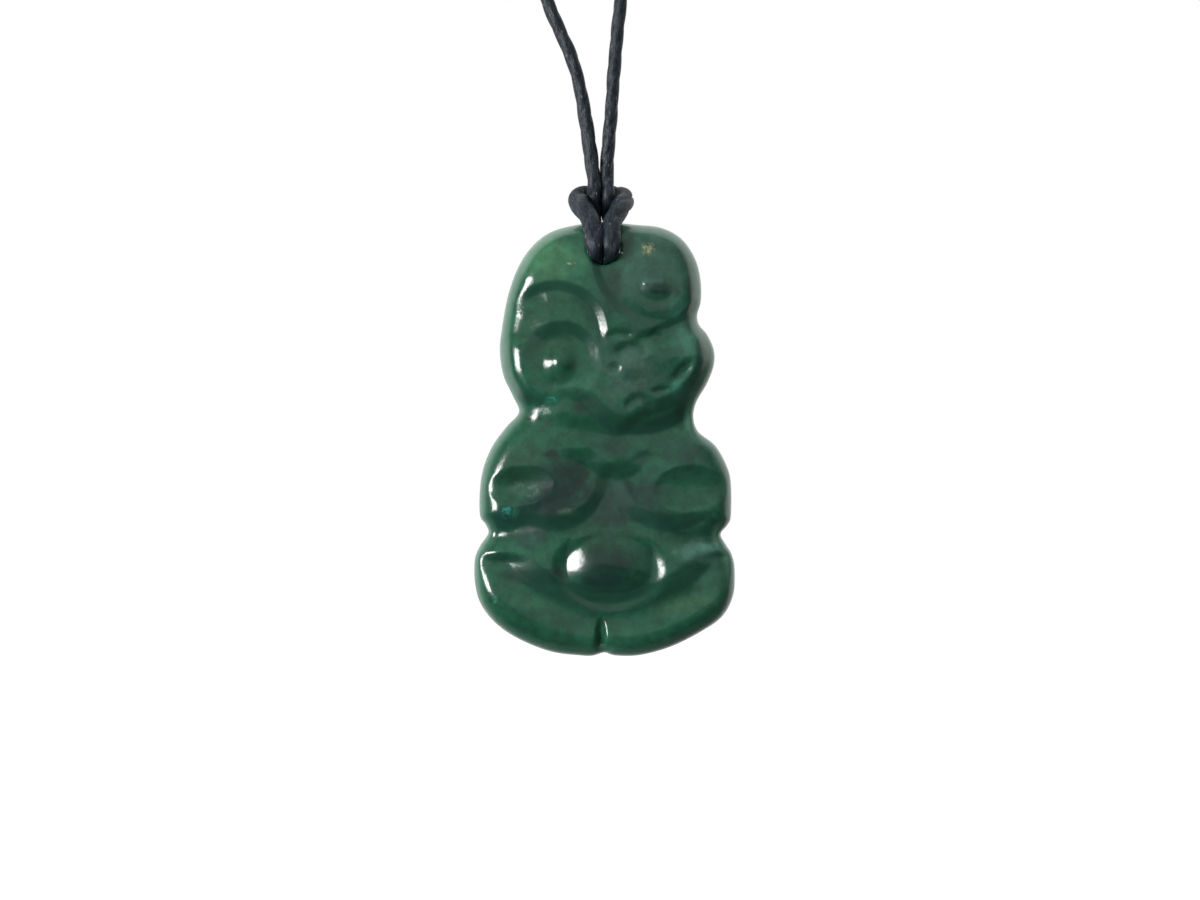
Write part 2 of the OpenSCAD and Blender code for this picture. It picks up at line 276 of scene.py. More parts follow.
@dataclass(frozen=True)
class Stroke(Arc):
    """A ridge or a groove along an arc, with half its width as a share of half the stone's."""

    width: float
    rise: float

    def rise_at(self, face: Field) -> Points:
        """Return the rise at each point.

        Args:
            face: The points.

        Returns:
            The rises, in relief heights.
        """
        out, off = self.turn_off(face)
        spread = (self.end - self.start) / 2
        past = np.radians(off - np.clip(off, -spread, spread))
        away = np.sqrt(out**2 + self.radius**2 - 2 * out * self.radius * np.cos(past))
        return self.rise * (1.0 + np.cos(np.pi * np.clip(away / self.width, 0.0, 1.0))) / 2.0


# Half the breadth of the mark on a step's slope and the breadth of its soft sides, in slope breadths
MARK_HALF = 0.62
MARK_SOFT = 0.24


class Way(Enum):
    """The side of an arc on which its step lies."""

    INWARD = -1
    OUTWARD = 1


@dataclass(frozen=True)
class Step(Arc):
    """A step along an arc, whose far side runs back to level.

    wall is the breadth of its slope, fade is the breadth of the run back to level, and taper that of
    the run out past the arc's ends, all as shares of half the stone's width. way is the side on which
    the step lies.
    """

    wall: float
    fade: float
    rise: float
    way: Way
    taper: float = 0.15

    def rise_at(self, face: Field) -> Points:
        """Return the rise at each point, in relief heights."""
        past, window = self.past(face)
        return self.rise * window * cut(past / self.wall) * (1.0 - ease((past - self.wall) / self.fade))

    def past(self, face: Field) -> tuple[Points, Points]:
        """Return where each point lies across the step and along it.

        Args:
            face: The points.

        Returns:
            How far past the arc it lies, and the share of the step that is left there.
        """
        out, off = self.turn_off(face)
        line = self.radius * math.cos(math.radians((self.end - self.start) / 2))
        beyond = line - out * np.cos(np.radians(off))
        return (out - self.radius) * self.way.value, 1.0 - ease(beyond / self.taper)

    def mark_at(self, face: Field) -> Points:
        """Return 1 on the step's slope and 0 off it, with soft sides."""
        past, window = self.past(face)
        return window * ease((MARK_HALF - np.abs(past / self.wall - 0.5)) / MARK_SOFT)


# Outline of the stone from the middle of its top down each side to the notch between its feet.
# Columns: x as a share of half the width, z as a share of the height.
RIGHT_SIDE = [
    [0, 1], [0.22, 0.994], [0.43, 0.987], [0.588, 0.962], [0.694, 0.917], [0.738, 0.867],
    [0.741, 0.818], [0.713, 0.786], [0.727, 0.763], [0.79, 0.74], [0.84, 0.705], [0.84, 0.67],
    [0.788, 0.628], [0.706, 0.585], [0.683, 0.55], [0.72, 0.517], [0.847, 0.486], [0.93, 0.444],
    [0.97, 0.402], [0.972, 0.325], [0.945, 0.302], [0.892, 0.281], [0.93, 0.258], [0.976, 0.235],
    [1, 0.2], [0.989, 0.141], [0.906, 0.092], [0.741, 0.056], [0.506, 0.021], [0.271, 0.002],
    [0.085, 0.001], [0, 0.008],
]
LEFT_SIDE = [
    [0, 1], [-0.22, 0.993], [-0.41, 0.977], [-0.552, 0.945], [-0.658, 0.899], [-0.74, 0.832],
    [-0.792, 0.748], [-0.804, 0.698], [-0.775, 0.645], [-0.704, 0.599], [-0.658, 0.562],
    [-0.752, 0.529], [-0.857, 0.486], [-0.927, 0.437], [-0.956, 0.388], [-0.957, 0.325],
    [-0.912, 0.303], [-0.893, 0.283], [-0.958, 0.253], [-0.997, 0.222], [-0.995, 0.169],
    [-0.95, 0.12], [-0.83, 0.074], [-0.65, 0.038], [-0.41, 0.01], [-0.18, 0.001],
    [-0.085, 0.001], [0, 0.008],
]

HEAD_FORMS = [
    # Head, standing proud of the chest down to its jaw
    Area(0.06, 0.82, 1.23, 1.05, 0, 0.4, 0.16),
    # Left brow, eye bowl and pupil
    Step(-0.373, 0.74, 0.41, 2, 118, 0.085, 1.2, -0.38, Way.INWARD, 0.22),
    Dome(-0.326, 0.68, 0.307, 0.307, 0, -0.44),
    Step(-0.326, 0.68, 0.3, 30, 150, 0.1, 0.4, -0.22, Way.INWARD, 0.25),
    Area(-0.342, 0.675, 0.165, 0.19, 0, 0.75, 1),
    # Right brow, eye disc with its shallow bowl, and pupil
    Step(0.449, 0.919, 0.56, 150, 250, 0.08, 2, -0.36, Way.INWARD, 0.4),
    Area(0.396, 0.855, 0.292, 0.292, 0, 0.18, 0.3),
    Dome(0.396, 0.855, 0.246, 0.246, 0, -0.16),
    Dome(0.39, 0.842, 0.125, 0.08, -5, 0.3),
    Dome(0.318, 0.858, 0.034, 0.034, 0, 0.09),
    Dome(0.436, 0.858, 0.03, 0.026, 0, 0.07),
    Step(0.396, 0.855, 0.285, 290, 345, 0.07, 0.2, -0.3, Way.OUTWARD, 0.06),
    # Nose: two lobes with a fold over each, and the left nostril
    Area(0.196, 0.664, 0.13, 0.12, 0, 0.16, 1),
    Area(0.349, 0.7, 0.12, 0.1, 0, 0.14, 1),
    Dome(0.073, 0.661, 0.06, 0.05, 0, -0.12),
    Stroke(0.21, 0.673, 0.125, 50, 135, 0.065, -0.2),
    Stroke(0.349, 0.703, 0.11, 55, 135, 0.055, -0.18),
    Stroke(0.119, 0.7, 0.131, 70, 120, 0.055, -0.16),
    # Cheek, mouth, tongue and lower lip
    Dome(0.657, 0.717, 0.184, 0.23, 0, 0.2),
    Area(0.599, 0.657, 0.146, 0.065, 45, -0.34, 0.8),
    Area(0.419, 0.611, 0.084, 0.04, 10, -0.22, 0.8),
    Dome(0.265, 0.562, 0.1, 0.065, 0, 0.16),
    Stroke(0.265, 0.565, 0.09, 35, 150, 0.055, -0.2),
    Step(0.288, 0.71, 0.41, -72, -6, 0.12, 0.3, -0.5, Way.OUTWARD, 0.12),
    # Jaw, the groove under the left eye, and the swelling and dip at the head's left edge
    Dome(-0.6, 0.655, 0.22, 0.3, 0, 0.34),
    Dome(-0.62, 0.79, 0.2, 0.28, 0, -0.26),
    Step(0.28, 0.668, 0.41, 222, 320, 0.13, 0.25, -0.5, Way.OUTWARD, 0.12),
    Stroke(-0.403, 0.751, 0.576, 236, 272, 0.1, -0.2),
]
BODY_FORMS = [
    # Valley of the neck, above the slope of the shoulders
    Stroke(0.058, 0.82, 1.114, 222, 318, 0.215, -0.12),
    # Hollows inside the arms, then the valleys between elbow and knee
    Dome(0.657, 0.387, 0.284, 0.177, 2, -0.75),
    Dome(-0.64, 0.394, 0.26, 0.145, 8, -0.5),
    Area(0.772, 0.272, 0.4, 0.184, -4, -0.5, 1),
    Area(-0.78, 0.288, 0.445, 0.14, 8, -0.36, 1),
    # Edge of each forearm, with the step down from it to the waist
    Stroke(-0.396, 0.424, 0.338, -95, -25, 0.12, 0.12),
    Step(0.488, 0.429, 0.34, 202, 290, 0.13, 0.45, -0.3, Way.OUTWARD, 0.1),
    Step(-0.396, 0.424, 0.32, -100, -20, 0.13, 0.7, -0.35, Way.OUTWARD, 0.12),
    Step(0.1, 0.478, 0.12, 225, 315, 0.12, 0.3, -0.35, Way.OUTWARD, 0.1),
    # Bowl round the belly, and the belly
    Area(0.04, 0.2, 0.47, 0.33, 0, -0.5, 0.3),
    Cushion(0.035, 0.224, 0.33, 0.25, 0, 1.1),
    # Groove between the feet
    Area(-0.03, 0.046, 0.184, 0.054, 88, -0.7, 1),
    # Groove above each leg, with the leg's crest under it
    Step(0.042, 0.417, 0.86, 230, 312, 0.19, 0.24, -0.66, Way.OUTWARD, 0.08),
]


# Places around a point at which the mark of a hollow looks
HOLLOW_LOOKS = 6


@dataclass
class CarvedStone:
    """The carved stone with its rounded edges, relief, plain back and drilled hole."""

    height: float = 45 * MM
    width: float = 27 * MM
    face_depth: float = 2.2 * MM
    face_crown: float = 0.8 * MM
    crown_reach: float = 7 * MM
    back_depth: float = 2.3 * MM
    face_round: float = 2.3 * MM
    back_round: float = 1.8 * MM
    relief: float = 1 * MM
    relief_fade: float = 1.3 * MM
    hole_lip: float = 0.2 * MM
    lip_depth: float = 0.12 * MM
    hole_sides: int = 96
    middle_share: float = 0.6
    middle_z: float = 0.47
    spokes: int = 280
    face_rings: int = 80
    back_rings: int = 14
    edge_rings: int = 14
    outline_steps: int = 12
    smooth_angle: float = 38.0
    hollow_reach: float = 0.8 * MM
    hollow_full: float = 0.15 * MM
    # Reach in from the rim of the painted pale reflection
    painted_rim_reach: float = 1.1 * MM
    under_reach: float = 0.1 * MM
    under_full: float = 0.45
    spoke_reach: float = 0.9
    points_at_once: int = 2000
    half_width: float = field(init=False)
    foot: float = field(init=False)
    sides: list[Points] = field(init=False)
    outline: Points = field(init=False)

    def __post_init__(self) -> None:
        """Work the outline out from its tables."""
        self.half_width = self.width / 2
        self.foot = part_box("pendant")[1].z - self.height
        self.sides = [self.side_points(side, other) for side, other in
                      ((RIGHT_SIDE, LEFT_SIDE), (LEFT_SIDE, RIGHT_SIDE))]
        self.outline = np.vstack([self.sides[0], self.sides[1][-2:0:-1]])

    def side_points(self, side: list[list[float]], other: list[list[float]]) -> Points:
        """Return one side of the outline as evenly spaced points.

        Args:
            side: The side's table, from the top down.
            other: The other side's table, for the neighbours across the ends.

        Returns:
            One more point than there are spokes, as x and z.
        """
        rows = np.array([other[1], *side, other[-2]]) * [self.half_width, self.height]
        line = smooth_curve(rows, self.outline_steps)
        return resample(line, np.linspace(0.0, run_lengths(line)[-1], self.spokes + 1))

    def edge_distance(self, x: Points, z: Points) -> Points:
        """Return each point's distance to the outline.

        Args:
            x: The points' x, from the stone's middle.
            z: Their z, from its foot.

        Returns:
            The distances, in metres.
        """
        start = self.outline
        along = np.roll(start, -1, axis=0) - start
        squared = (along**2).sum(axis=1)
        nearest = []
        blocks = max(1, len(x) // self.points_at_once)
        for block in np.array_split(np.stack([x, z], axis=1), blocks):
            from_start = block[:, None, :] - start[None]
            share = np.clip((from_start * along).sum(axis=2) / squared, 0.0, 1.0)
            away = from_start - share[..., None] * along
            nearest.append(np.sqrt((away**2).sum(axis=2).min(axis=1)))
        return np.concatenate(nearest)

    def lip(self, x: Points, z: Points) -> Points:
        """Return how far the hole's softened lip is worn down at each point."""
        away = np.hypot(x - HOLE_SHIFT, z - self.height + HOLE_DROP) - HOLE_D / 2
        return self.lip_depth * ease(1.0 - np.abs(away) / self.hole_lip)

    def carving_at(self, x: Points, z: Points) -> Points:
        """Return the rise of all the carved forms at each point."""
        face = Field(x, z, self.half_width, self.height)
        return self.relief * sum(form.rise_at(face) for form in HEAD_FORMS + BODY_FORMS)

    def face_at(self, x: Points, z: Points) -> Points:
        """Return the depth of the carved face at each point.

        Args:
            x: The points' x, from the stone's middle.
            z: Their z, from its foot.

        Returns:
            The depths in front of the rim, in metres.
        """
        edge = self.edge_distance(x, z)
        flat = self.face_depth * quarter(edge / self.face_round)
        crown = self.face_crown * ease(edge / self.crown_reach)
        return flat + crown + self.carving_at(x, z) * ease(edge / self.relief_fade) - self.lip(x, z)

    def back_at(self, x: Points, z: Points) -> Points:
        """Return the depth of the plain back at each point."""
        edge = self.edge_distance(x, z)
        return self.back_depth * quarter(edge / self.back_round) - self.lip(x, z)

    def ring_shares(self, rings: int, edge_round: float) -> Points:
        """Return how far out each ring lies, from the middle line to the rim.

        Args:
            rings: Rings inside the rounded edge.
            edge_round: Radius of the rounded edge.

        Returns:
            Shares from 0 to 1, closer together over the rounded edge.
        """
        rounded = edge_round / (self.spoke_reach * self.half_width)
        inner = np.linspace(0.0, 1.0 - rounded, rings + 1)
        turn = np.linspace(0.0, math.pi / 2, self.edge_rings + 1)[1:]
        return np.concatenate([inner, 1.0 - rounded * (1.0 - np.sin(turn))])

    def shell(self, mesh: bmesh.types.BMesh, rings: int, edge_round: float, back: bool) -> None:
        """Add the face or the back as one grid of spokes and rings.

        Args:
            mesh: The shape that the grid joins.
            rings: Rings inside the rounded edge.
            edge_round: Radius of the rounded edge.
            back: True for the back, False for the carved face.
        """
        shares = self.ring_shares(rings, edge_round)
        reach = len(shares) - 1
        made = bmesh.ops.create_grid(
            mesh, x_segments=self.spokes, y_segments=2 * reach, size=1.0)["verts"]
        grid = np.array([vertex.co for vertex in made])
        spoke = np.rint((grid[:, 0] + 1.0) / 2.0 * self.spokes).astype(int)
        ring = np.rint(grid[:, 1] * reach).astype(int)
        share = shares[np.abs(ring)][:, None]
        right, left = self.sides[0][spoke], self.sides[1][spoke]
        rim = np.where((ring > 0)[:, None], right, left)
        middle = self.middle_z * self.height
        root_z = middle + self.middle_share * ((right[:, 1] + left[:, 1]) / 2 - middle)
        root = np.stack([np.zeros_like(root_z), root_z], axis=1)
        place = root + share * (rim - root)
        x, z = place[:, 0], place[:, 1]
        y = self.back_at(x, z) if back else -self.face_at(x, z)
        y = np.where(np.abs(ring) == reach, 0.0, y)
        for vertex, co in zip(made, np.stack([x, y, z + self.foot], axis=1)):
            vertex.co = co

    def build(self) -> bpy.types.Object:
        """Build the stone and drill its hole.

        Returns:
            The finished stone.
        """
        mesh = bmesh.new()
        self.shell(mesh, self.face_rings, self.face_round, back=False)
        self.shell(mesh, self.back_rings, self.back_round, back=True)
        stone = finish_mesh(mesh, "carved_stone")
        self.drill(stone)
        stone.data.set_sharp_from_angle(angle=math.radians(self.smooth_angle))
        self.mark_painted_light(stone.data)
        return stone

    def mark_painted_light(self, mesh: bpy.types.Mesh) -> None:
        """Mark from 0 to 1 where the face is hollow, faces down, is stepped or nears the rim, for painted
        shade and reflection.

        Args:
            mesh: The finished stone, which gains the point attributes hollow, under, step and rim.
        """
        flat = np.empty(3 * len(mesh.vertices))
        mesh.vertices.foreach_get("co", flat)
        x, y, z = flat.reshape(-1, 3).T
        z = z - self.foot
        front = y < -self.face_depth / 4
        x, z = x[front], z[front]
        face = Field(x, z, self.half_width, self.height)
        edge = self.edge_distance(x, z)
        fade = ease(edge / self.relief_fade)
        here = self.carving_at(x, z)
        around = sum(
            self.carving_at(x + self.hollow_reach * math.cos(turn), z + self.hollow_reach * math.sin(turn))
            for turn in np.arange(HOLLOW_LOOKS) * math.pi * 2 / HOLLOW_LOOKS) / HOLLOW_LOOKS
        climb = self.carving_at(x, z + self.under_reach) - self.carving_at(x, z - self.under_reach)
        marks = {
            "hollow": fade * (around - here) / self.hollow_full,
            "under": fade * climb / (2 * self.under_reach) / self.under_full,
            "step": fade * sum(
                form.mark_at(face) for form in HEAD_FORMS + BODY_FORMS if isinstance(form, Step)),
            "rim": 1.0 - edge / self.painted_rim_reach,
        }
        for name, values in marks.items():
            written = np.zeros(len(front))
            written[front] = np.clip(values, 0.0, 1.0)
            mesh.attributes.new(name, "FLOAT", "POINT").data.foreach_set("value", written)

    def drill(self, stone: bpy.types.Object) -> None:
        """Cut the cord hole through the stone.

        Args:
            stone: The stone, which gets a new mesh.
        """
        mesh = bmesh.new()
        bmesh.ops.create_cone(
            mesh, cap_ends=True, segments=self.hole_sides, radius1=HOLE_D / 2,
            radius2=HOLE_D / 2, depth=4 * (self.face_depth + self.back_depth))
        for vertex in mesh.verts:
            x, y, z = vertex.co
            vertex.co = (x + HOLE_SHIFT, z, y + self.foot + self.height - HOLE_DROP)
        cutter = finish_mesh(mesh, "hole_cutter", FINE_WELD)
        hole = stone.modifiers.new("hole", "BOOLEAN")
        hole.operation, hole.solver, hole.object = "DIFFERENCE", "EXACT", cutter
        bpy.context.view_layer.update()
        drilled = bpy.data.meshes.new_from_object(
            stone.evaluated_get(bpy.context.evaluated_depsgraph_get()))
        stone.modifiers.clear()
        stone.data = drilled
        drilled.name = stone.name
        bpy.data.objects.remove(cutter)


# Route of the cord, with its points given in millimetres. Round the neck both sides are alike.
# Columns: distance out from the closing knot, and z.
NECK_RUN = [[17, -1], [30, -6.5], [41.5, -16], [50.5, -29], [55.5, -42], [57, -56], [55.4, -70]]
# The two sides go on down the chest. Columns: x and z.
LEFT_RUN = [[-51, -90], [-35, -163]]
RIGHT_RUN = [[50.8, -90], [29.7, -163]]
# They end at the hitch. Columns: x and height over the top of the stone.
LEFT_END = [[-16, 54], [-9.8, 34], [-6, 23], [-3.4, 16.9], [-2.2, 12]]
RIGHT_END = [[7.2, 54], [3.2, 34], [1.7, 23], [1, 16], [0.7, 12]]
# One half of the hitch, from the strand down the back, through the hole and up to the bight.
# Columns: distance out from the hitch's own line, y, height over the top of the stone, pressed flat.
HITCH_HALF = [
    [0.9, 0, 6.4, 0], [0.76, -0.05, 4.8, 0], [0.74, -0.1, 3.4, 0.1], [0.74, 0.1, 2.35, 0.2],
    [0.78, 0.95, 1.3, 0.2], [0.8, 1.9, 0.45, 0.2], [0.8, 2.65, -0.35, 0.2], [0.8, 3.05, -1.2, 0.2],
    [0.8, 3.1, -2, 0.2], [0.79, 2.85, -2.65, 0.2], [0.78, 2.2, -3.02, 0.2], [0.78, 1, -3.18, 0.2],
    [0.77, -1, -3.36, 0.2], [0.77, -2.6, -3.5, 0.2], [0.79, -3.3, -3.4, 0.3], [0.83, -3.68, -2.95, 0.6],
    [0.87, -3.65, -2.2, 1], [0.93, -3.25, -1.15, 1], [1.14, -2.6, -0.1, 1], [1.7, -1.75, 0.95, 1],
    [2.22, -0.7, 1.8, 1], [2.42, 0.3, 2.35, 1], [2.05, 1.2, 2.75, 1], [1.1, 1.8, 2.9, 1],
]
BIGHT = [0, 1.9, 2.93, 1]


@dataclass
class Strand:
    """A cord of twisted plies swept along a line, with creases between its plies."""

    diameter: float = 1.3 * MM
    plies: int = 3
    pitch: float = 8.4 * MM
    crease: float = 0.09
    crease_sharpness: float = 5.0
    flats: float = 0.045
    sides: int = 30
    wide: float = 1.42
    thin: float = 0.95
    bulge: float = 0.035
    unevenness: float = 0.05
    unevenness_spacing: float = 2.3 * MM
    wander: float = 0.05 * MM
    wander_spacings: tuple[float, float] = (4.1 * MM, 5.3 * MM)
    flats_turn: float = 2.5
    flats_spacing: float = 6.7 * MM
    seed: int = 7

    def frames(self, line: Points) -> tuple[Points, Points, Points]:
        """Return a direction and two side vectors at each point of a line.

        Args:
            line: One row per point.

        Returns:
            The directions, the side vectors carried along without twisting, and their cross products.
        """
        step = np.diff(line[:, :3], axis=0)
        step /= np.linalg.norm(step, axis=1)[:, None]
        along = np.vstack([step[:1], step[:-1] + step[1:], step[-1:]])
        along /= np.linalg.norm(along, axis=1)[:, None]
        side = np.array([0.0, 0.0, 1.0]) if abs(along[0][2]) < 0.9 else np.array([1.0, 0.0, 0.0])
        sides = []
        for direction in along:
            side = side - side.dot(direction) * direction
            side /= np.linalg.norm(side)
            sides.append(side)
        across = np.array(sides)
        return along, across, np.cross(along, across)

    def slow_noise(self, run: Points, spacing: float, seed: int) -> Points:
        """Return a smooth random value between -1 and 1 along the line, the same each time.

        Args:
            run: Distances along the line.
            spacing: Distance between two random values.
            seed: The random values' seed.

        Returns:
            The value at each distance.
        """
        knots = np.random.default_rng(seed).uniform(-1.0, 1.0, int(run[-1] / spacing) + 3)
        at = run / spacing
        low = at.astype(int)
        share = ease(at - low)
        return knots[low] * (1.0 - share) + knots[low + 1] * share

    def build(self, name: str, line: Points, shape: Shaper | None = None) -> bpy.types.Object:
        """Sweep the strand along a line.

        Args:
            name: The object's name.
            line: One row per ring: x, y, z in metres, how far it is pressed flat and its swelling.
            shape: What moves the vertices' places at the end, given them and their rings' middles.

        Returns:
            The finished strand, with a UV map in metres along and round it.
        """
        rings = len(line)
        mesh = bmesh.new()
        uv = mesh.loops.layers.uv.new("run")
        made = bmesh.ops.create_grid(
            mesh, x_segments=rings - 1, y_segments=self.sides, size=1.0)["verts"]
        grid = np.array([vertex.co for vertex in made])
        ring = np.rint((grid[:, 0] + 1.0) / 2.0 * (rings - 1)).astype(int)
        turn = (grid[:, 1] + 1.0) * math.pi
        run = run_lengths(line)
        round_length = math.pi * self.diameter
        for vertex, at, angle in zip(made, ring, turn):
            for loop in vertex.link_loops:
                loop[uv].uv = (run[at], angle / (2 * math.pi) * round_length)
        places = self.places(line, run, ring, turn)
        if shape:
            places = shape(places, line[ring, :3])
        for vertex, co in zip(made, places):
            vertex.co = co
        for end in (0, rings - 1):
            tip = Vector(line[end, :3])
            cap = [edge for edge in mesh.edges if edge.is_boundary and all(
                (vertex.co - tip).length < self.diameter for vertex in edge.verts)]
            bmesh.ops.remove_doubles(mesh, verts=list({v for e in cap for v in e.verts}), dist=FINE_WELD)
        bmesh.ops.remove_doubles(mesh, verts=mesh.verts, dist=FINE_WELD)
        bmesh.ops.holes_fill(mesh, edges=[edge for edge in mesh.edges if edge.is_boundary])
        return finish_mesh(mesh, name, FINE_WELD)

    def places(self, line: Points, run: Points, ring: Points, turn: Points) -> Points:
        """Return the place of each vertex.

        Args:
            line: One row per ring.
            run: Distance run at each ring.
            ring: Each vertex's ring.
            turn: Each vertex's angle round the strand.

        Returns:
            One row per vertex.
        """
        along, across, other = self.frames(line)
        pressed = line[:, 3]
        twist = 2 * math.pi * run / self.pitch
        swell = 1.0 + self.unevenness * self.slow_noise(run, self.unevenness_spacing, self.seed)
        centre = line[:, :3] + self.wander * (
            self.slow_noise(run, self.wander_spacings[0], self.seed + 1)[:, None] * across
            + self.slow_noise(run, self.wander_spacings[1], self.seed + 2)[:, None] * other)
        flat_way = np.cross(along, [0.0, 1.0, 0.0])
        flat = np.arctan2((flat_way * other).sum(axis=1), (flat_way * across).sum(axis=1))
        phase = self.plies * (turn - twist[ring]) / 2.0
        ply = 1.0 - self.crease * (1.0 - np.abs(np.cos(phase))) ** self.crease_sharpness * 2.0
        bulge = 1.0 + self.bulge * np.cos(2.0 * phase)
        facing = self.flats_turn * self.slow_noise(run, self.flats_spacing, self.seed + 3)
        flats = 1.0 + self.flats * np.cos(2.0 * (turn - facing[ring]))
        radius = self.diameter / 2 * (swell * line[:, 4])[ring] * ply * bulge * flats
        wide = 1.0 + (self.wide - 1.0) * pressed[ring]
        thin = 1.0 + (self.thin - 1.0) * pressed[ring]
        angle = turn - flat[ring]
        u, v = radius * wide * np.cos(angle), radius * thin * np.sin(angle)
        back_u = u * np.cos(flat[ring]) - v * np.sin(flat[ring])
        back_v = u * np.sin(flat[ring]) + v * np.cos(flat[ring])
        return centre[ring] + back_u[:, None] * across[ring] + back_v[:, None] * other[ring]


@dataclass
class NecklaceCord:
    """The whole loop of cord, tied through the stone with a loop hitch.

    The fill sizes shape the cord's underside in the hole. Shares of it run from its inner side, 0, by
    its lowest line at fill_split to its outer side, 1, which bears on the wall at fill_end degrees up.
    pull and stagger draw the two strands together and set one behind the other over the hitch.
    """

    strand: Strand = field(default_factory=Strand)
    ring_gap: float = 0.55 * MM
    hitch_gap: float = 0.22 * MM
    hitch_reach: float = 14 * MM
    fill_gap: float = 0.03 * MM
    fill_apart: float = 0.01 * MM
    fill_lean: float = 0.08
    fill_split: float = 0.42
    fill_end: float = 106.0
    fill_turn: float = 0.45
    fill_starts: float = 0.08
    fill_stops: float = 0.03
    fill_depth: float = 2.3 * MM
    fill_fade: float = 1.2 * MM
    pull: float = 0.1 * MM
    stagger: float = 0.28 * MM
    beside_from: Span = (2.5 * MM, 4 * MM)
    beside_to: Span = (6.5 * MM, 11.5 * MM)
    swell: float = 0.1
    swell_middle: float = 1 * MM
    swell_reach: float = 6 * MM
    swell_fade: float = 8 * MM
    lean: float = 0.045
    knot_length: float = 6 * MM
    knot_gap: float = 0.05 * MM
    curve_steps: int = 16
    top: float = field(init=False)

    def __post_init__(self) -> None:
        """Find the top of the stone."""
        self.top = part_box("pendant")[1].z

    def hitch_point(self, row: list[float], side: int) -> list[float]:
        """Return a point of the hitch on its left side (-1) or right side (+1)."""
        out, y, up, pressed = row[0] * MM, row[1] * MM, row[2] * MM, row[3]
        return [HOLE_SHIFT - self.lean * (up + HOLE_DROP) + side * out, y, up + self.top, pressed]

    def side_route(self, side: int, run: list[list[float]], end: list[list[float]]) -> Points:
        """Return one side of the route, from the closing knot down to the hitch.

        Args:
            side: -1 for the left side, 1 for the right side.
            run: The side's points on the chest.
            end: The side's points near the stone.

        Returns:
            One row per point.
        """
        rows = np.array([*([side * out, z] for out, z in NECK_RUN), *run, *end]) * MM
        rows[-len(end):, 1] += self.top
        level = np.zeros(len(rows))
        return np.stack([rows[:, 0], level, rows[:, 1], level], axis=1)

    def route(self) -> Points:
        """Return the given route from one side of the closing knot to the other.

        Returns:
            One row per point.
        """
        knot_low, knot_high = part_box("closing_knot")
        exit_x = self.knot_length / 2 + self.knot_gap
        exit_z = (knot_low.z + knot_high.z) / 2
        return np.vstack([
            [-exit_x, 0.0, exit_z, 0.0],
            self.side_route(-1, LEFT_RUN, LEFT_END),
            [self.hitch_point(row, -1) for row in HITCH_HALF],
            [self.hitch_point(BIGHT, 1)],
            [self.hitch_point(row, 1) for row in reversed(HITCH_HALF)],
            self.side_route(1, RIGHT_RUN, RIGHT_END)[::-1],
            [exit_x, 0.0, exit_z, 0.0],
        ])

    def line(self) -> Points:
        """Return the smooth line through the route.

        Returns:
            One row per ring of the cord, closer together in the hitch.
        """
        route = self.route()
        step = np.array([self.strand.diameter, 0.0, 0.0, 0.0])
        curve = smooth_curve(np.vstack([route[0] + step, route, route[-1] - step]), self.curve_steps)
        run = run_lengths(curve)
        hitch = run[np.abs(curve[:, 2] - self.top) < self.hitch_reach]
        start, end = hitch.min(), hitch.max()
        spans = ((0.0, start, self.ring_gap), (start, end, self.hitch_gap), (end, run[-1], self.ring_gap))
        places = np.concatenate([
            np.linspace(low, high, int((high - low) / gap) + 1)[:-1] for low, high, gap in spans
        ] + [[run[-1]]])
        line = resample(curve, places)
        over = line[:, 2] - self.top
        beside = ease_over(over, self.beside_from) * (1.0 - ease_over(over, self.beside_to))
        side = np.where(np.arange(len(line)) < len(line) / 2, -1.0, 1.0)
        line[:, 0] -= side * beside * self.pull
        line[:, 1] += side * beside * self.stagger
        away = np.abs(line[:, 2] - self.top - self.swell_middle) - self.swell_reach
        swelling = 1.0 + self.swell * (1.0 - ease(away / self.swell_fade))
        return np.hstack([line, swelling[:, None]])

    def fill_hole(self, places: Points, middles: Points) -> Points:
        """Press the cord's underside down onto the lower half of the hole's wall.

        Args:
            places: Each vertex's place.
            middles: The middle of each vertex's ring.

        Returns:
            The places, moved inside the hole alone.
        """
        axis = np.array([HOLE_SHIFT, self.top - HOLE_DROP])
        side = np.where(middles[:, 0] > axis[0], 1.0, -1.0)
        off = places[:, (0, 2)] - middles[:, (0, 2)]
        turned = np.arctan2(-off[:, 1], -off[:, 0] * side) / math.pi
        under = np.clip((turned + self.fill_turn) / (1.0 + self.fill_turn), 0.0, 1.0)
        radius = HOLE_D / 2 - self.fill_gap
        low = axis - (0.0, radius)
        down = np.clip(under / self.fill_split, 0.0, 1.0)[:, None]
        inner = (1.0 - down) * np.stack([low[0] + 0.0 * side, places[:, 2]], axis=1) + down * low
        wall = math.radians(self.fill_end) * (under - self.fill_split) / (1.0 - self.fill_split)
        outer = axis + radius * np.stack([side * np.sin(wall), -np.cos(wall)], axis=1)
        seam = (side * self.fill_apart + self.fill_lean * middles[:, 1]) * (down[:, 0] < 1.0)
        target = np.where(down < 1.0, inner, outer) + np.stack([seam, 0.0 * side], axis=1)
        away = np.hypot(*(middles[:, (0, 2)] - axis).T)
        deep = 1.0 - ease((np.abs(middles[:, 1]) - self.fill_depth) / self.fill_fade)
        last = 1.0 - ease((under - 1.0 + self.fill_stops) / self.fill_stops)
        share = ease(under / self.fill_starts) * last * deep * (away < HOLE_D / 2)
        moved = places.copy()
        moved[:, (0, 2)] += share[:, None] * (target - places[:, (0, 2)])
        return moved

    def build(self) -> bpy.types.Object:
        """Return the finished loop of cord."""
        return self.strand.build("necklace_cord", self.line(), self.fill_hole)


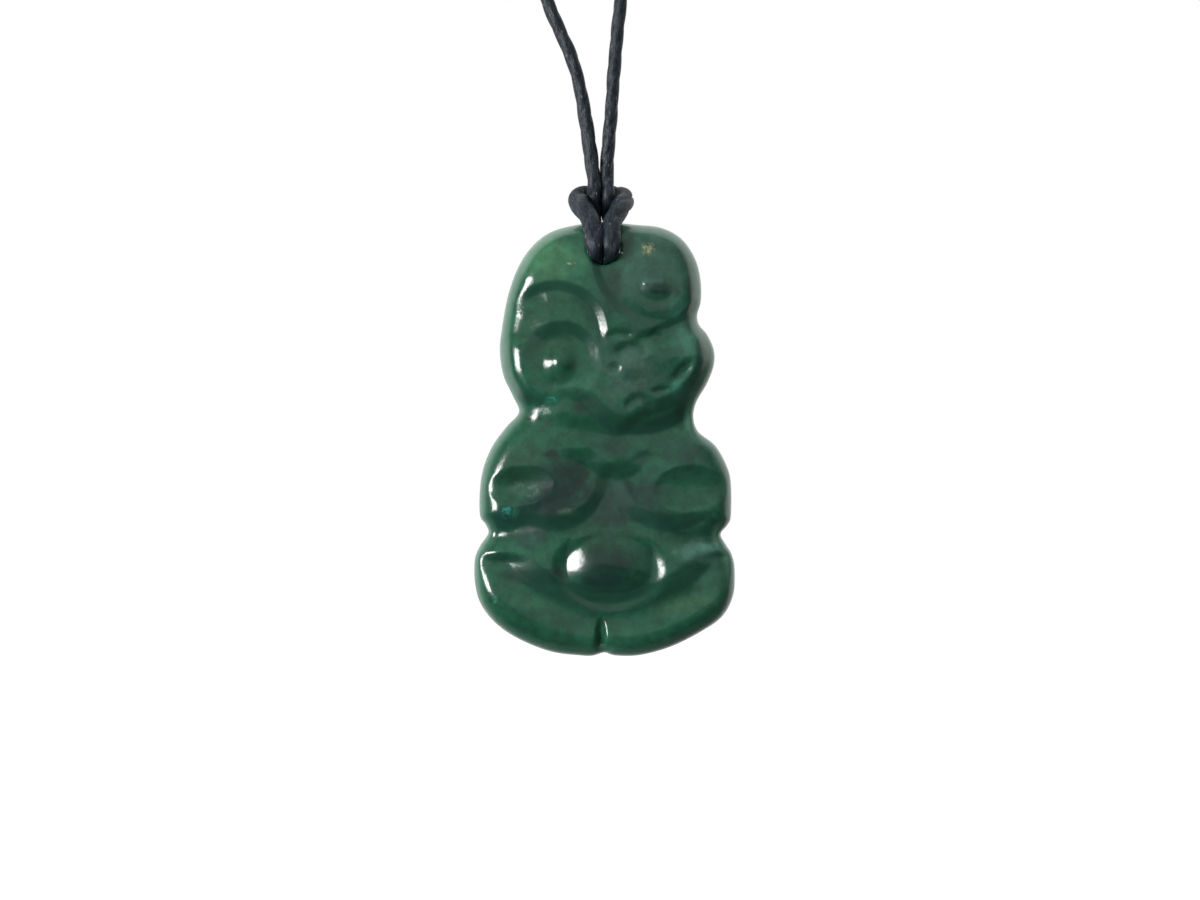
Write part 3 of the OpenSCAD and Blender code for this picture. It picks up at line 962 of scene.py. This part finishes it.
@dataclass
class ClosingKnot:
    """The knot at the nape: cord wrapped round the two ends."""

    wraps: float = 4.5
    wrap_d: float = 1.15 * MM
    tuck: float = 0.06
    tucked_in: float = 0.35
    strand: Strand = field(default_factory=lambda: Strand(
        diameter=1.15 * MM, sides=24, pitch=7 * MM, seed=31))
    steps: int = 220

    def build(self) -> bpy.types.Object:
        """Wrap the knot inside the box of its solid.

        Returns:
            The finished knot.
        """
        low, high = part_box("closing_knot")
        middle = (low + high) / 2
        radius = (high.z - low.z) / 2 - self.wrap_d / 2
        reach = (high.x - low.x) / 2 - self.wrap_d / 2
        share = np.linspace(0.0, 1.0, self.steps)
        tuck = ease(np.minimum(share, 1.0 - share) / self.tuck)
        angle = 2 * math.pi * self.wraps * share
        out = radius * (self.tucked_in + (1.0 - self.tucked_in) * tuck)
        line = np.stack([
            middle.x + reach * (2 * share - 1), middle.y + out * np.sin(angle),
            middle.z + out * np.cos(angle), np.zeros_like(share), np.ones_like(share)], axis=1)
        run = run_lengths(line)
        even = resample(line, np.linspace(0.0, run[-1], self.steps))
        return self.strand.build("nape_knot", even)


class Ink:
    """Short ways to build the nodes of one tree."""

    def __init__(self, tree: bpy.types.NodeTree) -> None:
        """Keep the tree that nodes go into."""
        self.tree = tree

    def node(self, kind: str, settings: dict | None = None, inputs: dict | None = None) -> bpy.types.Node:
        """Add a node.

        Args:
            kind: The node's type.
            settings: Values of its own properties.
            inputs: Values or sockets for its inputs, by name or number.

        Returns:
            The new node.
        """
        made = self.tree.nodes.new(kind)
        for name, value in (settings or {}).items():
            setattr(made, name, value)
        self.fill(made, inputs or {})
        return made

    def fill(self, node: bpy.types.Node, inputs: dict) -> None:
        """Set or link a node's inputs.

        Args:
            node: The node.
            inputs: Values or sockets, by the inputs' names or numbers.
        """
        for key, value in inputs.items():
            if isinstance(value, bpy.types.NodeSocket):
                self.tree.links.new(value, node.inputs[key])
            else:
                node.inputs[key].default_value = value

    def shade(self, inputs: dict) -> None:
        """Set or link the inputs of the material's own shader."""
        self.fill(self.tree.nodes["Principled BSDF"], inputs)

    def bump(self, height: Value, strength: float, depth: float) -> bpy.types.NodeSocket:
        """Return the direction that a surface faces with a height added to it."""
        return self.node("ShaderNodeBump", None, {
            "Height": height, "Strength": strength, "Distance": depth}).outputs[0]

    def maths(self, operation: str, first: Value, second: Value) -> bpy.types.NodeSocket:
        """Return the result of one sum."""
        return self.node("ShaderNodeMath", {"operation": operation}, {0: first, 1: second}).outputs[0]

    def vector(self, operation: str, first: Value, second: Value) -> bpy.types.NodeSocket:
        """Return the result of one sum of vectors."""
        return self.node("ShaderNodeVectorMath", {"operation": operation}, {0: first, 1: second}).outputs[0]

    def scaled(self, vector: Value, share: Value) -> bpy.types.NodeSocket:
        """Return a vector or a colour times a number."""
        made = self.node("ShaderNodeVectorMath", {"operation": "SCALE"}, {0: vector, "Scale": share})
        return made.outputs[0]

    def ramp(
            self, value: Value, low: Value, high: Value, to_low: Value = 0.0, to_high: Value = 1.0,
    ) -> bpy.types.NodeSocket:
        """Return a value mapped smoothly from one range to another."""
        return self.node("ShaderNodeMapRange", {"interpolation_type": "SMOOTHSTEP"}, {
            0: value, 1: low, 2: high, 3: to_low, 4: to_high}).outputs[0]

    def noise(self, vector: Value, scale: float, detail: float, rough: float) -> bpy.types.NodeSocket:
        """Return a noise value."""
        return self.node("ShaderNodeTexNoise", None, {
            "Vector": vector, "Scale": scale, "Detail": detail, "Roughness": rough}).outputs["Fac"]

    def blend(self, share: Value, first: Value, second: Value) -> bpy.types.NodeSocket:
        """Return a mix of two colours."""
        made = self.node("ShaderNodeMix", {"data_type": "RGBA"}, {"Factor": share, 6: first, 7: second})
        return made.outputs[2]


def new_material(name: str) -> tuple[bpy.types.Material, Ink]:
    """Start a material.

    Args:
        name: The material's name.

    Returns:
        The new material and the ink that builds its nodes.
    """
    made = bpy.data.materials.new(name)
    made.use_nodes = True
    return made, Ink(made.node_tree)


SOFT_SPOT = "soft_spot"
# Half depth of a spot in millimetres, far more than the stone's, so a spot goes right through it
SPOT_DEPTH = 40.0


def spot_group() -> bpy.types.NodeTree:
    """Return the group that masks a soft spot with an uneven edge.

    Returns:
        A group with Vector, Centre, Reach, Softness and Grain inputs and a Mask output.
    """
    tree = bpy.data.node_groups.new(SOFT_SPOT, "ShaderNodeTree")
    for name in ("Vector", "Centre", "Reach"):
        tree.interface.new_socket(name, in_out="INPUT", socket_type="NodeSocketVector")
    for name in ("Softness", "Grain"):
        tree.interface.new_socket(name, in_out="INPUT", socket_type="NodeSocketFloat")
    tree.interface.new_socket("Mask", in_out="OUTPUT", socket_type="NodeSocketFloat")
    start = tree.nodes.new("NodeGroupInput").outputs
    end = tree.nodes.new("NodeGroupOutput").inputs
    ink = Ink(tree)
    off = ink.vector("DIVIDE", ink.vector("SUBTRACT", start["Vector"], start["Centre"]), start["Reach"])
    away = ink.node("ShaderNodeVectorMath", {"operation": "LENGTH"}, {0: off}).outputs["Value"]
    # The edge wanders by up to 0.6 of the spot's reach, in waves about 2 mm long
    uneven = ink.noise(start["Vector"], 0.45, 4.0, 0.6)
    wander = ink.maths("MULTIPLY", ink.maths("SUBTRACT", uneven, 0.5), 1.2)
    inner = ink.maths("SUBTRACT", 1.0, start["Softness"])
    share = ink.ramp(ink.maths("ADD", away, wander), inner, 1.0, 1.0, 0.0)
    # Grains of about 0.6 mm, which cover nearly half of a fully grainy spot
    grains = ink.ramp(ink.noise(start["Vector"], 1.7, 6.0, 0.75), 0.47, 0.58)
    gaps = ink.maths("MULTIPLY", start["Grain"], ink.maths("SUBTRACT", 1.0, grains))
    tree.links.new(ink.maths("MULTIPLY", share, ink.maths("SUBTRACT", 1.0, gaps)), end["Mask"])
    return tree


@dataclass(frozen=True)
class Spot:
    """A soft spot on the stone, in millimetres from the middle of its foot."""

    x: float
    z: float
    half_length: float
    half_height: float
    strength: float
    softness: float = field(default=0.8, kw_only=True)
    grain: float = field(default=0.0, kw_only=True)

    def mask(self, ink: Ink, place: bpy.types.NodeSocket) -> bpy.types.NodeSocket:
        """Return the spot's mask.

        Args:
            ink: The material's nodes.
            place: The place in the stone.

        Returns:
            Shares from 0 outside the spot to its strength.
        """
        tree = bpy.data.node_groups.get(SOFT_SPOT) or spot_group()
        made = ink.node("ShaderNodeGroup", {"node_tree": tree}, {
            "Vector": place,
            "Centre": (self.x, 0.0, self.z),
            "Reach": (self.half_length, SPOT_DEPTH, self.half_height),
            "Softness": self.softness,
            "Grain": self.grain,
        })
        return ink.maths("MULTIPLY", made.outputs[0], self.strength)


@dataclass(frozen=True)
class Patch(Spot):
    """A soft spot of colour."""

    colour: Colour


class Finish(Enum):
    """The names of the finishes, which are the record's material slots."""

    GREENSTONE = "greenstone"
    WAXED_CORD = "waxed_cord"


@dataclass(frozen=True)
class Greenstone:
    """Polished nephrite: deep green, clouded, with paler and darker patches, small flecks, painted shade and
    a painted pale rim.
    """

    deep: Colour = (0.007, 0.062, 0.032)
    light: Colour = (0.013, 0.102, 0.056)
    cloud_noise: Noise = (0.12, 5.0, 0.6)
    cloud_span: Span = (0.3, 0.7)
    mottle_noise: Noise = (0.75, 5.0, 0.65)
    mottle_span: Span = (0.32, 0.68)
    mottle: Span = (0.78, 1.2)
    roughness: float = 0.19
    refraction: float = 1.61
    glow: float = 0.5
    glow_reach: float = 1.2 * MM
    glow_colour: Colour = (0.35, 1.0, 0.6)
    # Shares and colours of the painted shade in hollows, under downward-facing slopes and on carved steps,
    # and of the painted reflection on the rim
    hollow_painted_shade: float = 0.45
    rim_painted_reflection: float = 0.8
    rim_reflection_colour: Colour = (0.110, 0.230, 0.170)
    under_painted_shade: float = 0.55
    step_painted_shade: float = 0.65
    painted_shade_colour: Colour = (0.009, 0.056, 0.036)
    patches: tuple[Patch, ...] = (
        # Broad clouds: pale crown, bluish right side, dark chest, belly and legs, with painted shade and
        # light among them
        Patch(-5.8, 41.2, 5.4, 4.2, 0.9, (0.044, 0.165, 0.078)),
        Patch(4.5, 40.0, 6.0, 6.5, 0.8, (0.034, 0.092, 0.070)),
        Patch(-5.5, 33.0, 5.2, 7.0, 0.6, (0.013, 0.069, 0.033)),
        Patch(9.2, 31.5, 3.4, 5.0, 0.8, (0.040, 0.150, 0.104)),
        Patch(2.8, 29.0, 5.0, 4.4, 0.8, (0.042, 0.100, 0.078)),
        Patch(-8.5, 20.5, 3.6, 2.4, 0.6, (0.020, 0.075, 0.040)),
        Patch(8.2, 21.2, 4.4, 2.2, 0.7, (0.010, 0.046, 0.034)),
        Patch(0.3, 15.6, 4.6, 3.8, 0.85, (0.014, 0.042, 0.034)),
        Patch(-7.8, 12.2, 3.4, 1.6, 0.7, (0.010, 0.052, 0.038)),
        Patch(0.0, 1.6, 12.0, 2.2, 0.7, (0.018, 0.100, 0.056)),
        # Painted light on the upward-facing lower side of the left eye's bowl
        Patch(-4.9, 29.0, 3.6, 2.8, 0.7, (0.020, 0.105, 0.060)),
        Patch(-4.8, 16.7, 5.4, 4.9, 0.95, (0.002, 0.020, 0.016)),
        Patch(0.5, 9.6, 4.6, 3.4, 0.9, (0.005, 0.028, 0.021)),
        # Painted shade under the belly
        Patch(0.2, 7.6, 3.6, 1.3, 0.9, (0.001, 0.007, 0.010)),
        # Painted shade on the slope of the groove above the left leg
        Patch(-7.2, 8.4, 4.6, 1.3, 0.95, (0.002, 0.026, 0.017), softness=0.6),
        Patch(-7.0, 5.8, 4.2, 1.1, 0.7, (0.018, 0.105, 0.056), softness=0.7),
        Patch(8.6, 8.3, 3.8, 1.3, 0.7, (0.030, 0.130, 0.084)),
        Patch(7.8, 5.6, 5.0, 1.8, 0.8, (0.030, 0.110, 0.054)),
        Patch(-4.0, 4.6, 4.0, 1.5, 0.7, (0.014, 0.078, 0.046)),
        Patch(8.6, 18.2, 3.6, 1.6, 0.6, (0.018, 0.100, 0.056)),
        # Painted shade in the top of the left arm's hollow
        Patch(-8.4, 18.6, 2.8, 1.3, 0.8, (0.003, 0.036, 0.012)),
        # Lighter colour that softens the painted shade on the right elbow's slope
        Patch(9.2, 13.9, 2.8, 1.8, 0.8, (0.030, 0.130, 0.085)),
        # Painted shade on the right forearm's downward-facing slope
        Patch(4.8, 17.2, 3.2, 2.6, 0.75, (0.006, 0.030, 0.024)),
        Patch(1.1, 21.6, 3.6, 1.6, 0.65, (0.009, 0.038, 0.030)),
        # Painted shade on the crescent slopes below the forearms, two on the right and one on the left
        Patch(2.4, 16.2, 1.5, 2.4, 0.9, (0.002, 0.016, 0.012), softness=0.6),
        Patch(4.8, 14.4, 2.8, 1.1, 0.8, (0.002, 0.020, 0.014), softness=0.6),
        Patch(-1.6, 16.8, 1.3, 1.9, 0.7, (0.002, 0.018, 0.014)),
        # Painted light on the upward-facing lower side of the left eye's bowl
        Patch(-4.4, 28.0, 3.0, 1.3, 0.7, (0.024, 0.110, 0.066)),
        # Painted reflection: the pale sheen of the right thigh's upward-facing slope
        Patch(10.0, 10.9, 3.8, 1.7, 0.85, (0.070, 0.200, 0.150), softness=0.7),
        # Lighter colour that softens the painted shade on the lip's slope
        Patch(8.0, 27.2, 2.2, 1.8, 0.85, (0.050, 0.220, 0.150)),
        # Lighter colour that softens the painted shade on the crescent below the right eye
        Patch(8.0, 35.9, 1.8, 2.0, 0.8, (0.036, 0.160, 0.110)),
        # Darker spots; the first, over the right pupil, is painted shade
        Patch(5.4, 37.8, 1.5, 0.9, 0.9, (0.002, 0.024, 0.014)),
        Patch(-3.1, 19.0, 1.9, 2.3, 0.9, (0.001, 0.022, 0.016), softness=0.7),
        Patch(-6.6, 14.4, 3.0, 2.0, 0.9, (0.001, 0.022, 0.018), softness=0.7),
        Patch(-5.5, 21.0, 1.0, 0.6, 0.9, (0.003, 0.024, 0.011)),
        Patch(-7.5, 24.6, 1.3, 0.35, 0.9, (0.003, 0.020, 0.012)),
        Patch(-3.6, 30.0, 1.1, 0.8, 0.7, (0.002, 0.024, 0.014)),
        Patch(-2.5, 25.8, 1.6, 1.2, 0.8, (0.005, 0.022, 0.015)),
        Patch(0.7, 38.4, 1.7, 2.9, 0.8, (0.016, 0.040, 0.024)),
        Patch(-8.1, 26.6, 1.2, 1.0, 0.8, (0.002, 0.050, 0.036)),
        Patch(-10.5, 14.2, 1.7, 1.5, 0.85, (0.002, 0.045, 0.036)),
        # Pale and bright flecks
        Patch(-8.2, 17.3, 2.6, 1.1, 0.8, (0.060, 0.150, 0.105), softness=0.6, grain=0.7),
        Patch(-3.6, 15.0, 1.3, 0.6, 0.8, (0.080, 0.150, 0.100), grain=0.5),
        Patch(-9.8, 14.9, 1.0, 0.9, 0.9, (0.030, 0.260, 0.220), softness=0.4, grain=1.0),
        Patch(-11.3, 6.0, 0.35, 0.6, 0.9, (0.040, 0.300, 0.240), softness=0.4, grain=0.8),
        Patch(-5.5, 26.5, 0.9, 0.45, 0.8, (0.040, 0.280, 0.220), softness=0.5, grain=0.8),
        Patch(4.4, 42.0, 0.95, 0.8, 0.9, (0.300, 0.300, 0.150), softness=0.6, grain=1.0),
        Patch(1.8, 41.6, 0.14, 0.14, 0.9, (0.500, 0.600, 0.550), softness=0.5),
        Patch(-3.4, 40.5, 0.5, 0.16, 0.8, (0.400, 0.480, 0.420), softness=0.5, grain=1.0),
    )

    waves_noise: Noise = (1.6, 3.0, 0.55)
    waves_depth: float = 0.1
    scratch_noise: Noise = (5.0, 3.0, 0.6)
    scratch_depth: float = 0.14
    bump_depth: float = 0.2 * MM
    scratches: tuple[Spot, ...] = (
        Spot(-8.4, 36.4, 1.8, 1.6, 1.0),
        Spot(0.0, 34.9, 1.5, 2.6, 1.0),
        Spot(-6.4, 25.6, 2.4, 1.0, 1.0),
        Spot(-9.8, 12.7, 1.8, 1.0, 1.0),
    )

    def build(self) -> bpy.types.Material:
        """Build the finish's nodes.

        Returns:
            The finished material.
        """
        made, ink = new_material(Finish.GREENSTONE.value)
        place = self.place(ink)
        waves = ink.maths("MULTIPLY", ink.noise(place, *self.waves_noise), self.waves_depth)
        scratched = 0.0
        for spot in self.scratches:
            scratched = ink.maths("MAXIMUM", spot.mask(ink, place), scratched)
        marks = ink.maths("MULTIPLY", ink.noise(place, *self.scratch_noise), self.scratch_depth)
        height = ink.maths("ADD", waves, ink.maths("MULTIPLY", marks, scratched))
        ink.shade({
            "Base Color": self.colour(ink, place),
            "Roughness": self.roughness,
            "IOR": self.refraction,
            "Subsurface Weight": self.glow,
            "Subsurface Scale": self.glow_reach,
            "Subsurface Radius": self.glow_colour,
            "Normal": ink.bump(height, 1.0, self.bump_depth),
        })
        return made

    def place(self, ink: Ink) -> bpy.types.NodeSocket:
        """Return the place in the stone, in millimetres from the middle of its foot."""
        place = ink.node("ShaderNodeTexCoord").outputs["Object"]
        return ink.scaled(ink.vector("SUBTRACT", place, (0.0, 0.0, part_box("pendant")[0].z)), 1.0 / MM)

    def colour(self, ink: Ink, place: bpy.types.NodeSocket) -> bpy.types.NodeSocket:
        """Return the clouded colour, with its painted shade and painted rim reflection.

        Args:
            ink: The material's nodes.
            place: The place in the stone.

        Returns:
            The base colour.
        """
        cloud = ink.ramp(ink.noise(place, *self.cloud_noise), *self.cloud_span)
        colour = ink.blend(cloud, (*self.deep, 1.0), (*self.light, 1.0))
        for patch in self.patches:
            colour = ink.blend(patch.mask(ink, place), colour, (*patch.colour, 1.0))
        mottle = ink.ramp(ink.noise(place, *self.mottle_noise), *self.mottle_span, *self.mottle)
        colour = ink.scaled(colour, mottle)
        # Painted shade in the hollows, on downward-facing slopes and on carved steps, then a painted
        # reflection that makes the rim pale
        painted_light_marks = (
            ("hollow", self.hollow_painted_shade, self.painted_shade_colour),
            ("under", self.under_painted_shade, self.painted_shade_colour),
            ("step", self.step_painted_shade, self.painted_shade_colour),
            ("rim", self.rim_painted_reflection, self.rim_reflection_colour),
        )
        for name, share, tint in painted_light_marks:
            mark = ink.node("ShaderNodeAttribute", {"attribute_name": name}).outputs["Fac"]
            colour = ink.blend(ink.maths("MULTIPLY", mark, share), colour, (*tint, 1.0))
        return colour


@dataclass(frozen=True)
class Grain:
    """A noise that follows the cord.

    along and about are its waves per metre along and round the cord, slant the degrees by which it
    leans off the cord's run, and shift its shift in waves.
    """

    along: float
    about: float
    detail: float
    rough: float
    slant: float = 0.0
    shift: tuple[float, float] = (0.0, 0.0)

    def value(self, ink: Ink) -> bpy.types.NodeSocket:
        """Add the noise's nodes.

        Args:
            ink: The material's nodes.

        Returns:
            The noise's value.
        """
        place = ink.node("ShaderNodeMapping", None, {
            "Vector": ink.node("ShaderNodeUVMap", {"uv_map": "run"}).outputs[0],
            "Rotation": (0.0, 0.0, math.radians(self.slant)),
            "Scale": (self.along, self.about, 1.0),
            "Location": (*self.shift, 0.0),
        })
        return ink.noise(place.outputs[0], 1.0, self.detail, self.rough)


@dataclass(frozen=True)
class WaxedCord:
    """Dark waxed cord: twisted fibres under a dull film of wax, with a few pale specks."""

    dark: Colour = (0.003, 0.006, 0.010)
    pale: Colour = (0.018, 0.034, 0.052)
    wax: Colour = (0.120, 0.135, 0.150)
    roughness: float = 0.5
    gloss: float = 0.45
    fibres: Grain = Grain(1500.0, 5200.0, 2.0, 0.6, slant=24.0)
    fibre_ramp: Ramp = (0.35, 0.7, 0.0, 1.0)
    smears: Grain = Grain(900.0, 900.0, 3.0, 0.6)
    smear_ramp: Ramp = (0.3, 0.7, 0.4, 1.0)
    specks: Grain = Grain(1500.0, 4200.0, 2.0, 0.5, slant=24.0, shift=(3.0, 7.0))
    speck_ramp: Ramp = (0.64, 0.72, 0.0, 1.0)
    bump_strength: float = 0.8
    bump_depth: float = 0.12 * MM

    def build(self) -> bpy.types.Material:
        """Build the finish's nodes.

        Returns:
            The finished material.
        """
        made, ink = new_material(Finish.WAXED_CORD.value)
        fibre = self.fibres.value(ink)
        smear = ink.ramp(self.smears.value(ink), *self.smear_ramp)
        speck = ink.ramp(self.specks.value(ink), *self.speck_ramp)
        share = ink.maths("MULTIPLY", ink.ramp(fibre, *self.fibre_ramp), smear)
        colour = ink.blend(share, (*self.dark, 1.0), (*self.pale, 1.0))
        ink.shade({
            "Base Color": ink.blend(speck, colour, (*self.wax, 1.0)),
            "Roughness": self.roughness,
            "Specular IOR Level": self.gloss,
            "Normal": ink.bump(fibre, self.bump_strength, self.bump_depth),
        })
        return made


@dataclass(frozen=True)
class Panel:
    """A soft light.

    off is its place in metres from the point that it faces, power is in watts, and a panel that isn't
    reflected lights the pieces without showing in their polish.
    """

    name: str
    off: tuple[float, float, float]
    width: float
    height: float
    power: float
    reflected: bool = True

    def set_up(self, aim: Vector) -> None:
        """Put the light in the scene.

        Args:
            aim: The point that it faces.
        """
        data = bpy.data.lights.new(self.name, "AREA")
        data.shape, data.energy = "RECTANGLE", self.power
        data.size, data.size_y = self.width, self.height
        lamp = bpy.data.objects.new(self.name, data)
        lamp.location = aim + Vector(self.off)
        lamp.rotation_euler = (-Vector(self.off)).to_track_quat("-Z", "Y").to_euler()
        lamp.visible_camera = False
        lamp.visible_glossy = self.reflected
        bpy.context.scene.collection.objects.link(lamp)


@dataclass
class Studio:
    """Pale floor, plain light surroundings, soft lights and the camera.

    The sizes in pixels are the photograph's. Each glow is the brightness over the places or directions
    from its ramp's start to its end, and side_glow the share of top_glow that is left there.
    """

    lens: float = 85.0
    sensor: float = 36.0
    photo_width: float = 1200.0
    photo_height: float = 900.0
    pixels_per_mm: float = 9.644
    stone_middle_px: float = 604.5
    stone_foot_px: float = 656.0
    floor_gap: float = 90 * MM
    floor_reach: float = 1.5
    floor_sides: int = 64
    floor_colour: Colour = (0.05, 0.05, 0.05)
    floor_roughness: float = 0.9
    floor_glow: Ramp = (0.0, 0.16, 0.0, 0.9)
    back_glow: Ramp = (-0.3, 0.3, 0.0, 1.2)
    top_glow: Ramp = (-0.3, 0.1, 0.04, 0.45)
    side_glow: Ramp = (0.3, 0.75, 1.0, 0.5)
    aim_height: float = 25 * MM
    panels: tuple[Panel, ...] = (
        Panel("key", (-0.41, -0.38, 0.02), 0.18, 0.21, 3.0),
        Panel("top", (0.0, -0.25, 0.55), 1.0, 0.7, 2.3, reflected=False),
    )

    def build(self) -> None:
        """Set the floor, the surroundings, the lights and the camera."""
        self.floor()
        self.surroundings()
        self.camera()
        for panel in self.panels:
            panel.set_up(Vector((0.0, 0.0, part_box("pendant")[0].z + self.aim_height)))
        bpy.context.scene.view_settings.view_transform = "Standard"

    def floor(self) -> None:
        """Lay the plain pale floor."""
        mesh = bmesh.new()
        bmesh.ops.create_circle(mesh, cap_ends=True, segments=self.floor_sides, radius=self.floor_reach)
        bmesh.ops.translate(mesh, verts=mesh.verts, vec=(0.0, 0.0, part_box("pendant")[0].z - self.floor_gap))
        floor = finish_mesh(mesh, "studio_floor")
        pale, ink = new_material("pale_floor")
        place = ink.node("ShaderNodeTexCoord").outputs["Object"]
        parts = ink.node("ShaderNodeSeparateXYZ", None, {0: place})
        behind = ink.ramp(parts.outputs["Y"], *self.floor_glow)
        seen = ink.node("ShaderNodeLightPath").outputs["Is Camera Ray"]
        ink.shade({
            "Base Color": (*self.floor_colour, 1.0),
            "Roughness": self.floor_roughness,
            "Emission Color": (1.0, 1.0, 1.0, 1.0),
            "Emission Strength": ink.maths("MAXIMUM", seen, behind),
        })
        floor.data.materials.append(pale)

    def surroundings(self) -> None:
        """Light the scene from all round, brighter behind the object than in front of it."""
        world = bpy.data.worlds.new("studio")
        bpy.context.scene.world = world
        world.use_nodes = True
        ink = Ink(world.node_tree)
        way = ink.node("ShaderNodeTexCoord").outputs["Generated"]
        parts = ink.node("ShaderNodeSeparateXYZ", None, {0: way})
        back = ink.ramp(parts.outputs["Y"], *self.back_glow)
        above = ink.ramp(parts.outputs["Z"], *self.top_glow)
        aside = ink.ramp(ink.maths("ABSOLUTE", parts.outputs["X"], 0.0), *self.side_glow)
        depth = ink.maths("MAXIMUM", back, ink.maths("MULTIPLY", above, aside))
        seen = ink.node("ShaderNodeLightPath").outputs["Is Camera Ray"]
        level = ink.node("ShaderNodeMix", {"data_type": "FLOAT"}, {"Factor": seen, 2: depth, 3: 1.0})
        ink.fill(ink.tree.nodes["Background"], {"Color": (1.0, 1.0, 1.0, 1.0), "Strength": level.outputs[0]})

    def camera(self) -> None:
        """Set the camera square in front of the stone, framed as the photograph."""
        data = bpy.data.cameras.new("camera")
        data.lens, data.sensor_width = self.lens, self.sensor
        view_width = self.photo_width / self.pixels_per_mm * MM
        x = (self.photo_width / 2 - self.stone_middle_px) / self.pixels_per_mm * MM
        up = (self.stone_foot_px - self.photo_height / 2) / self.pixels_per_mm * MM
        camera = bpy.data.objects.new("camera", data)
        camera.location = (x, -view_width * self.lens / self.sensor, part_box("pendant")[0].z + up)
        camera.rotation_euler = (math.pi / 2, 0.0, 0.0)
        bpy.context.scene.collection.objects.link(camera)
        bpy.context.scene.camera = camera


def dress(piece: bpy.types.Object, material: bpy.types.Material, node: str) -> None:
    """Give a piece its material and tie it to the part.

    Args:
        piece: The finished piece.
        material: The finish's material.
        node: The node that it stands for.
    """
    piece.data.materials.clear()
    piece.data.materials.append(material)
    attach(piece, "root")
    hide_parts(node)
    LOG.info("%s: %d faces, in place of %s", piece.name, len(piece.data.polygons), node)


def main() -> None:
    """Build the studio and every piece, in order."""
    logging.basicConfig(level=logging.INFO, format="%(name)s: %(message)s")
    Studio().build()
    waxed = WaxedCord().build()
    dress(NecklaceCord().build(), waxed, "cord")
    dress(ClosingKnot().build(), waxed, "closing_knot")
    dress(CarvedStone().build(), Greenstone().build(), "pendant")


if __name__ == "__main__":
    main()
